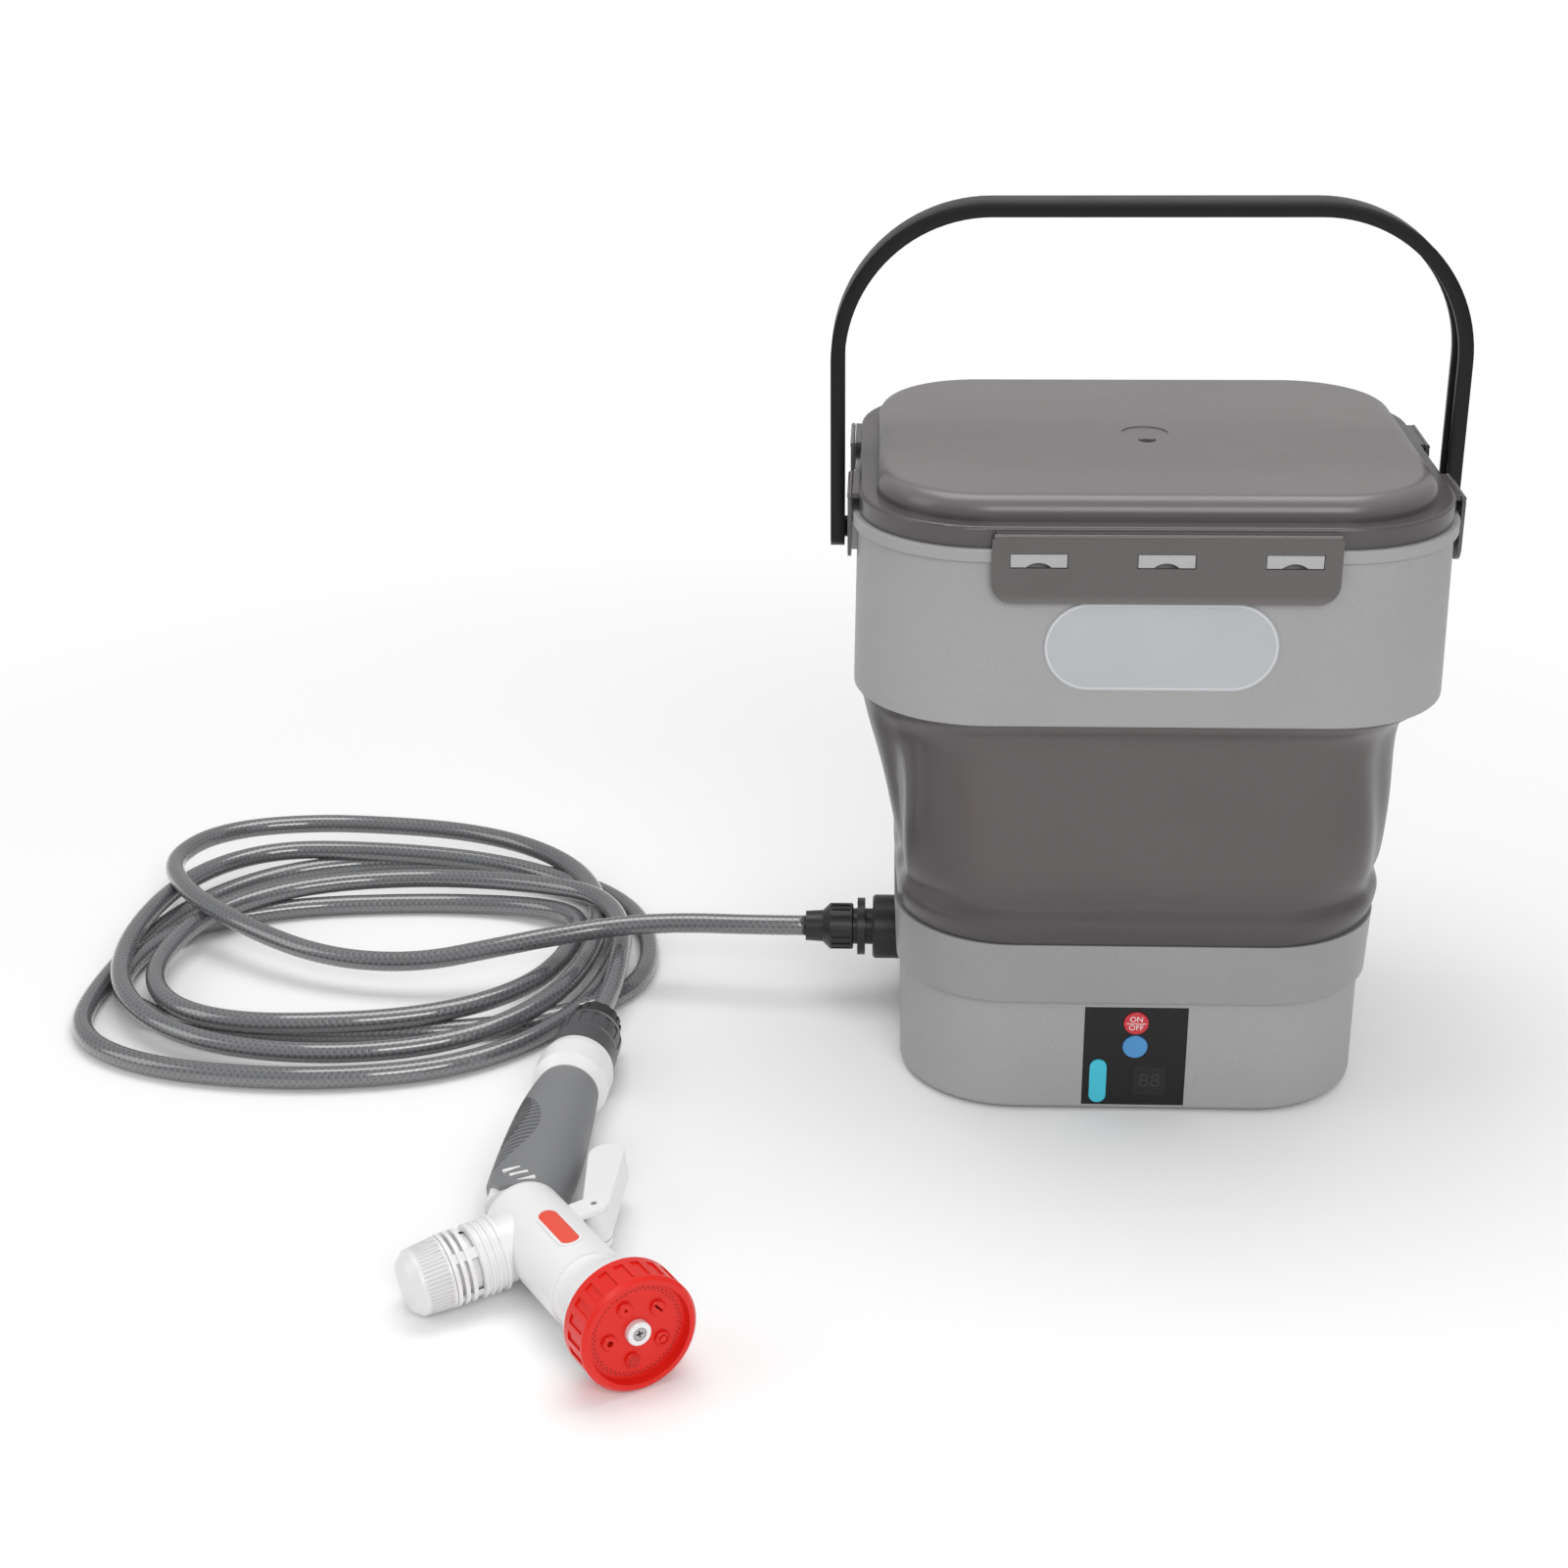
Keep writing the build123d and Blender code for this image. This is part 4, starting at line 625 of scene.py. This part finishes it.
# Soft sleeve between cup and band, a loft that bulges over its lower fold and folds in under the band
sleeve = {
    "cup": (0.126, 0.1125, 0.061),  # half width, half depth and corner at the cup's edge
    "band": (0.1478, 0.1273, 0.065),
    "low": 0.1006,
    "high": 0.2270,
    "wall": 0.0016,
    # How far up, how far out from the cup towards the band, and the same on the left, which slopes
    "levels": [(-0.010, -0.10, -0.10), (0.0, -0.05, -0.05), (0.02, -0.05, -0.05), (0.05, 0.03, 0.0),
               (0.09, 0.10, 0.03), (0.125, 0.06, 0.02), (0.16, -0.04, -0.05), (0.19, -0.03, -0.08),
               (0.23, 0.06, -0.02), (0.30, 0.11, 0.03), (0.40, 0.14, 0.12), (0.55, 0.16, 0.30),
               (0.70, 0.17, 0.48), (0.80, 0.18, 0.62), (0.86, 0.22, 0.70), (0.90, 0.32, 0.75),
               (0.94, 0.52, 0.80), (0.97, 0.78, 0.84), (1.0, 0.86, 0.86), (1.02, 0.86, 0.86)],
    "leftPower": 4,  # how sharply the left side's slope fades into the front and the back
    "cornerCuts": 16,
    "sideCuts": 14,
    "roundings": 2,
    "sharp": 50,
    # Shallow ripples: depth, waves round the sleeve, and shift up its height
    "ripples": [(0.0006, 3, 9), (0.0005, 7, -14)],
    # Folds that run down the corners: degrees round at the foot and at the top, depth and width
    "folds": [(-158, -143, 0.0075, 4.5), (-148, -133, -0.0030, 5.0), (-168, -174, 0.0040, 5.0),
              (-29, -40, 0.0030, 4.0), (-37, -46, -0.0016, 4.0), (148, 139, 0.0040, 5.0),
              (36, 42, 0.0030, 6.0)],
}


def sleeveRing(out):  # a rounded rectangle, out from the cup's size towards the band's
    wide, deep, corner = [low + out * (high - low) for low, high in zip(sleeve["cup"], sleeve["band"])]
    ring = []
    middles = [(wide - corner, deep - corner, 0), (-(wide - corner), deep - corner, 90),
               (-(wide - corner), -(deep - corner), 180), (wide - corner, -(deep - corner), 270)]
    for number, (x, y, start) in enumerate(middles):
        for i in range(sleeve["cornerCuts"] + 1):
            turn = radians(start + 90 * i / sleeve["cornerCuts"])
            ring.append(Vector((x + corner * cos(turn), y + corner * sin(turn))))
        nextX, nextY, nextStart = middles[(number + 1) % 4]
        turn = radians(nextStart)
        first = ring[-1]
        last = Vector((nextX + corner * cos(turn), nextY + corner * sin(turn)))
        ring += [first.lerp(last, (i + 1) / sleeve["sideCuts"]) for i in range(sleeve["sideCuts"] - 1)]
    return ring


def softSleeve():
    spots, faces = [], []
    tall = sleeve["high"] - sleeve["low"]
    for up, out, leftOut in sleeve["levels"]:
        for spot, slope in zip(sleeveRing(out), sleeveRing(leftOut)):
            turn = atan2(spot.y, spot.x)
            left = min(max(0.0, -spot.x / sleeve["cup"][0]) ** sleeve["leftPower"], 1.0)
            spot = spot.lerp(slope, left)
            middle = max(0.0, sin(pi * min(max(up, 0), 1)))
            away = sum(depth * sin(waves * turn + shift * up) for depth, waves, shift in sleeve["ripples"])
            for foot, top, depth, width in sleeve["folds"]:
                off = (degrees(turn) - foot - (top - foot) * up) / width
                away -= depth * exp(-off * off)
            spot = spot + spot.normalized() * away * middle
            spots.append(Vector((spot.x, spot.y, sleeve["low"] + up * tall)))
    count = len(spots) // len(sleeve["levels"])
    for i in range(len(sleeve["levels"]) - 1):
        for k in range(count):
            along = (k + 1) % count
            faces.append((i * count + k, i * count + along, (i + 1) * count + along, (i + 1) * count + k))
    mesh = bpy.data.meshes.new("sleeveSkin")
    mesh.from_pydata(spots, [], faces)
    piece = bpy.data.objects.new("sleeveSkin", mesh)
    bpy.context.collection.objects.link(piece)
    makeActive(piece)
    smooth = piece.modifiers.new("smooth", "SUBSURF")
    smooth.levels = smooth.render_levels = sleeve["roundings"]
    wall = piece.modifiers.new("wall", "SOLIDIFY")
    wall.thickness = sleeve["wall"]
    wall.offset = -1
    for modifier in ("smooth", "wall"):
        bpy.ops.object.modifier_apply(modifier=modifier)
    bpy.ops.object.shade_smooth_by_angle(angle=radians(sleeve["sharp"]))
    dress(piece, "sleeveSkin", "sleeveSmoke", None, "soft_sleeve")
    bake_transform(piece)
    print("sleeve made")


softSleeve()


def alongAxis(place, along):  # location and turn that lay an operator's own Z along a place's X
    laid = place @ Matrix.Translation((along, 0, 0)) @ Matrix.Rotation(radians(90), 4, "Y")
    return {"location": laid.translation, "rotation": laid.to_euler()}


# Bottle port: the screw thread's turns behind the cage, and the pale basket inside it
port = {
    "start": 0.0252,
    "end": 0.0517,
    "basketRadius": 0.0136,
    "threadRadius": 0.0172,
    "threadThick": 0.0009,
    "threads": (0.0050, 0.0084, 0.0118),
    "sides": 40,
    "threadSides": (56, 10),
    "sharp": 40,
}


def makePort():
    deselectAll()
    middle = alongAxis(portPlace, (port["start"] + port["end"]) / 2)
    bpy.ops.mesh.primitive_cylinder_add(vertices=port["sides"], radius=port["basketRadius"],
                                        depth=port["end"] - port["start"], **middle)
    basket = settle(bpy.context.object)
    bpy.ops.object.shade_smooth_by_angle(angle=radians(port["sharp"]))
    dress(basket, "portBasket", "whitePlastic", "gun")
    for number, along in enumerate(port["threads"]):
        deselectAll()
        bpy.ops.mesh.primitive_torus_add(major_segments=port["threadSides"][0],
                                         minor_segments=port["threadSides"][1],
                                         major_radius=port["threadRadius"],
                                         minor_radius=port["threadThick"],
                                         **alongAxis(portPlace, port["start"] + along))
        ring = settle(bpy.context.object)
        bpy.ops.object.shade_smooth()
        dress(ring, "portThread" + str(number), "whitePlastic", "gun")
    print("port threads made")


makePort()


# The white body shows in the grip pad's three slots: along the grip, across it and how high
padSlots = {
    "places": ((0.0065, 0.0030, 0.0169), (0.0024, -0.0015, 0.0170), (-0.0016, -0.0059, 0.0164)),
    "half": (0.0045, 0.0011, 0.0030),
    "turn": -67.0,
}


def fillPadSlots():
    for number, (along, across, top) in enumerate(padSlots["places"]):
        laid = gripPlace @ Matrix.Translation((along, across, top - padSlots["half"][2])) \
            @ Matrix.Rotation(radians(padSlots["turn"]), 4, "Z")
        deselectAll()
        bpy.ops.mesh.primitive_cube_add(size=2, location=laid.translation, rotation=laid.to_euler())
        bpy.context.object.scale = padSlots["half"]
        dress(settle(bpy.context.object), "padSlot" + str(number), "whitePlastic", "gun")
    print("pad slots filled")


fillPadSlots()


# Tabs that fill the flaps' slots, each with an arched lower edge, in a paler copy of the band's grey:
# painted light on the band's tabs
tabs = {
    "half": (0.0133, 0.0009, 0.0032),
    "height": 0.3127,
    "archRadius": 0.009,
    "archDrop": 0.0099,
    "archSides": 48,
    "archLong": 0.02,
    "frontPlace": 0.1294,
    "sidePlace": 0.1499,
    "frontShifts": (-0.060, 0.0, 0.060),
    "sideShifts": (-0.046, 0.046),
}


def makeTab(name, seat):
    deselectAll()
    bpy.ops.mesh.primitive_cube_add(size=2)
    tab = bpy.context.object
    tab.scale = tabs["half"]
    settle(tab)
    bpy.ops.mesh.primitive_cylinder_add(vertices=tabs["archSides"], radius=tabs["archRadius"],
                                        depth=tabs["archLong"], location=(0, 0, -tabs["archDrop"]),
                                        rotation=(pi / 2, 0, 0))
    arch = bpy.context.object
    cut = tab.modifiers.new("arch", "BOOLEAN")
    cut.operation = "DIFFERENCE"
    cut.object = arch
    makeActive(tab)
    bpy.ops.object.modifier_apply(modifier="arch")
    bpy.data.objects.remove(arch)
    tab.matrix_world = seat
    dress(settle(tab), name, "tabPaintedLight", "band")


def makeTabs():
    places = [(turn, shift, tabs["frontPlace"]) for turn in (0, 180) for shift in tabs["frontShifts"]]
    places += [(turn, shift, tabs["sidePlace"]) for turn in (90, 270) for shift in tabs["sideShifts"]]
    for number, (turn, shift, out) in enumerate(places):
        makeTab("clipTab" + str(number), Matrix.Rotation(radians(turn), 4, "Z")
                @ Matrix.Translation((shift, -out, tabs["height"])))
    print("tabs made:", len(places))


makeTabs()


# Dial face: two rings of fine holes near its rim (radius, count, shift in steps), the shower's disc and
# holes, and the screw's cross; the holes and the cross are thin dark discs and bars of painted shade
dial = {
    "face": 0.0940,
    "rings": ((0.0214, 54, 0.0), (0.0203, 54, 0.5)),
    "holeRadius": 0.00042,
    "holeDeep": 0.00012,
    "holeSides": 8,
    "showerTurn": 252.0,
    "showerPlace": 0.0138,
    "showerFace": 0.0021,
    "discRadius": 0.0030,
    "discDeep": 0.0006,
    "discFace": 0.0018,
    "discSides": 32,
    "showerRings": ((0.0012, 5), (0.0023, 10)),
    "screwFace": 0.0028,
    "crossHalf": (0.0015, 0.00035),
}


def ringSpots(radius, count, shift=0.0):
    turns = [2 * pi * (number + shift) / count for number in range(count)]
    return [(radius * cos(turn), radius * sin(turn)) for turn in turns]


def makeDialHoles():
    spots = [(0.0, across, up) for ring in dial["rings"] for across, up in ringSpots(*ring)]
    shower = radians(dial["showerTurn"])
    middle = (dial["showerPlace"] * cos(shower), dial["showerPlace"] * sin(shower))
    spots += [(dial["showerFace"], middle[0] + across, middle[1] + up)
              for ring in dial["showerRings"] for across, up in ringSpots(*ring)]
    deselectAll()
    for number, (rise, across, up) in enumerate(spots):
        laid = alongAxis(gunPlace @ Matrix.Translation((0, across, up)), dial["face"] + rise)
        bpy.ops.mesh.primitive_cylinder_add(vertices=dial["holeSides"], radius=dial["holeRadius"],
                                            depth=dial["holeDeep"], **laid)
        if number == 0:  # the rest are added to the first one's mesh
            bpy.ops.object.mode_set(mode="EDIT")
    bpy.ops.object.mode_set(mode="OBJECT")
    # Thin dark red discs on the face: painted shade where the holes are
    dress(settle(bpy.context.object), "dialHoleShade", "holeShadeRed", "dial_head")
    deselectAll()
    laid = alongAxis(gunPlace @ Matrix.Translation((0, *middle)), dial["face"] + dial["discFace"])
    bpy.ops.mesh.primitive_cylinder_add(vertices=dial["discSides"], radius=dial["discRadius"],
                                        depth=dial["discDeep"], **laid)
    dress(settle(bpy.context.object), "showerDisc", "redPlastic", "dial_head")
    deselectAll()
    laid = alongAxis(gunPlace, dial["face"] + dial["screwFace"])
    for number in range(2):
        bpy.ops.mesh.primitive_cube_add(size=2, **laid)
        bar = bpy.context.object
        bar.scale = (dial["crossHalf"][number], dial["crossHalf"][1 - number], dial["holeDeep"])
        # Thin dark bars: painted shade in the screw's cross
        dress(settle(bar), "screwCross" + str(number), "holeShadeBlack", "gun")
    print("dial holes made:", len(spots))


makeDialHoles()


# A copy of a node with its long edges rounded, so that they catch the light as moulded edges do
softEdge = {"merge": 0.00001, "segments": 2, "corner": 40, "sharp": 45}


def softEdged(node, name, finish, body, width):
    source = nodes[node]
    piece = source.copy()
    piece.data = source.data.copy()
    piece.parent = None
    bpy.context.collection.objects.link(piece)
    piece.matrix_world = source.matrix_world
    settle(piece)
    bpy.ops.object.mode_set(mode="EDIT")
    bpy.ops.mesh.select_all(action="SELECT")
    bpy.ops.mesh.remove_doubles(threshold=softEdge["merge"])
    bpy.ops.object.mode_set(mode="OBJECT")
    edge = piece.modifiers.new("edge", "BEVEL")
    edge.width = width
    edge.segments = softEdge["segments"]
    edge.limit_method = "ANGLE"
    edge.angle_limit = radians(softEdge["corner"])
    bpy.ops.object.modifier_apply(modifier="edge")
    bpy.ops.object.shade_smooth_by_angle(angle=radians(softEdge["sharp"]))
    return dress(piece, name, finish, body, node)


softEdged("handle", "bailHandle", "handleBlack", "handle", 0.0009)
print("handle edged")


# Print on the control panel: ON over OFF with a line between them, and the window's unlit digits
panelPrint = {
    "buttonX": 0.0,
    "powerZ": 0.0536,
    "buttonFace": -0.1083,
    "wordSize": 0.0044,
    "wordRise": 0.0024,
    "lineHalf": (0.0052, 0.00018),
    "digitX": 0.0084,
    "digitZ": 0.0192,
    "digitFace": -0.1075,
    "digitSize": 0.0118,
    "thick": 0.00008,
    "curveSteps": 3,
}


def printedWord(name, words, place, size, finish, body):
    deselectAll()
    bpy.ops.object.text_add(location=place, rotation=(pi / 2, 0, 0))
    piece = bpy.context.object
    piece.data.body = words
    piece.data.size = size
    piece.data.align_x = piece.data.align_y = "CENTER"
    piece.data.extrude = panelPrint["thick"]
    piece.data.resolution_u = panelPrint["curveSteps"]
    bpy.ops.object.convert(target="MESH")
    return dress(settle(bpy.context.object), name, finish, body)


def makePanelPrint():
    look = panelPrint
    for name, words, side in (("onWord", "ON", 1), ("offWord", "OFF", -1)):
        place = (look["buttonX"], look["buttonFace"], look["powerZ"] + side * look["wordRise"])
        printedWord(name, words, place, look["wordSize"], "printWhite", "power_button")
    deselectAll()
    bpy.ops.mesh.primitive_cube_add(size=2, location=(look["buttonX"], look["buttonFace"], look["powerZ"]))
    bpy.context.object.scale = (look["lineHalf"][0], look["thick"], look["lineHalf"][1])
    dress(settle(bpy.context.object), "buttonLine", "printWhite", "power_button")
    place = (look["digitX"], look["digitFace"], look["digitZ"])
    printedWord("unlitDigits", "88", place, look["digitSize"], "unlitFilm", "base")
    print("panel printed")


makePanelPrint()


# Floor, backdrop, light and camera
studio = {
    "floorSize": 12.0,
    "floorLow": (249, 249, 249),
    "floorHigh": (251, 251, 251),
    "floorShine": 0.1,
    "floorRough": 0.85,
    "roughDrift": 0.1,
    "toneScale": 3.0,
    "roughScale": 200.0,
    "whiteMiddle": (-0.2, 0.0),  # seen by the camera, the floor turns plain white from here out
    "whiteFrom": 0.40,
    "whiteTo": 0.85,
    "world": 0.5,
    "cameraPlace": (-0.13042, -1.25249, 0.68466),
    "yaw": -2.581,
    "down": 23.461,
    "roll": -0.507,
    "lens": 57.25,
    "sensor": 36,
    "near": 0.01,
}


def floorFinish():
    finish, skin, place = newFinish("paleFloor", {"Specular IOR Level": studio["floorShine"]})
    feed(skin, "Base Color", mixed(place, cloud(place, studio["toneScale"]), shade(*studio["floorLow"]),
                                   shade(*studio["floorHigh"])))
    rough = cloud(place, studio["roughScale"]) - 0.5
    feed(skin, "Roughness", studio["floorRough"] + rough * studio["roughDrift"])
    tree = place.tree
    east = place.node("SeparateXYZ", None, {0: place}, 0) - studio["whiteMiddle"][0]
    north = place.node("SeparateXYZ", None, {0: place}, 1) - studio["whiteMiddle"][1]
    reach = place.maths("SQRT", east * east + north * north)
    far = ramped(reach, studio["whiteFrom"], studio["whiteTo"])
    seen = Wire(tree, tree.nodes.new("ShaderNodeLightPath").outputs["Is Camera Ray"])
    white = place.node("Emission", None, {"Color": (1, 1, 1, 1), "Strength": 1.0})
    blend = place.node("MixShader", None, {0: far * seen, 1: Wire(tree, skin.outputs[0]), 2: white})
    end = next(node for node in tree.nodes if node.bl_idname == "ShaderNodeOutputMaterial")
    tree.links.new(blend.socket, end.inputs[0])
    return finish


finishes["paleFloor"] = floorFinish()


def makeStudio():
    deselectAll()
    bpy.ops.mesh.primitive_plane_add(size=studio["floorSize"], location=(0, 0, 0))
    floor = settle(bpy.context.object)
    floor.name = "studioFloor"
    floor.data.materials.append(finishes["paleFloor"])
    world = bpy.data.worlds.new("studioWorld")
    bpy.context.scene.world = world
    world.use_nodes = True
    tree = world.node_tree
    tree.nodes.clear()
    end = tree.nodes.new("ShaderNodeOutputWorld")
    rays = tree.nodes.new("ShaderNodeLightPath")
    seen = Wire(tree, rays.outputs["Is Camera Ray"]) + Wire(tree, rays.outputs["Is Transmission Ray"])
    seen = seen.maths("MINIMUM", seen, 1.0)
    strength = studio["world"] + seen * (1 - studio["world"])
    glow = seen.node("Background", None, {"Color": (1, 1, 1, 1), "Strength": strength})
    tree.links.new(glow.socket, end.inputs[0])


def softbox(name, place, target, size, watts):
    light = bpy.data.lights.new(name, "AREA")
    light.shape = "RECTANGLE"
    light.size, light.size_y = size
    light.energy = watts
    lamp = bpy.data.objects.new(name, light)
    bpy.context.collection.objects.link(lamp)
    lamp.location = place
    lamp.rotation_euler = (Vector(target) - Vector(place)).to_track_quat("-Z", "Y").to_euler()


# Place, target, size and watts
softboxes = {
    "overheadBox": ((-0.1, 0.25, 1.75), (-0.1, 0.0, 0.1), (1.5, 1.0), 14.0),
    "frontBox": ((0.3, -1.7, 1.2), (0.0, 0.0, 0.15), (1.1, 0.8), 13.0),
    "leftBox": ((-1.7, -0.5, 0.9), (-0.2, 0.0, 0.1), (0.8, 1.1), 4.0),
}


def makeCamera():
    yaw, down, roll = (radians(studio[key]) for key in ("yaw", "down", "roll"))
    ahead = Vector((sin(yaw) * cos(down), cos(yaw) * cos(down), -sin(down)))
    right = Vector((cos(yaw), -sin(yaw), 0))
    up = right.cross(ahead)
    side = cos(roll) * right + sin(roll) * up
    top = -sin(roll) * right + cos(roll) * up
    lensData = bpy.data.cameras.new("photoCamera")
    lensData.lens = studio["lens"]
    lensData.sensor_width = studio["sensor"]
    lensData.sensor_fit = "HORIZONTAL"
    lensData.clip_start = studio["near"]
    camera = bpy.data.objects.new("photoCamera", lensData)
    bpy.context.collection.objects.link(camera)
    turned = Matrix((side, top, -ahead)).transposed().to_4x4()
    camera.matrix_world = Matrix.Translation(studio["cameraPlace"]) @ turned
    bpy.context.scene.camera = camera


makeStudio()
for name, settings in softboxes.items():
    softbox(name, *settings)
makeCamera()
bpy.context.scene.view_settings.view_transform = "Standard"
print("studio set")
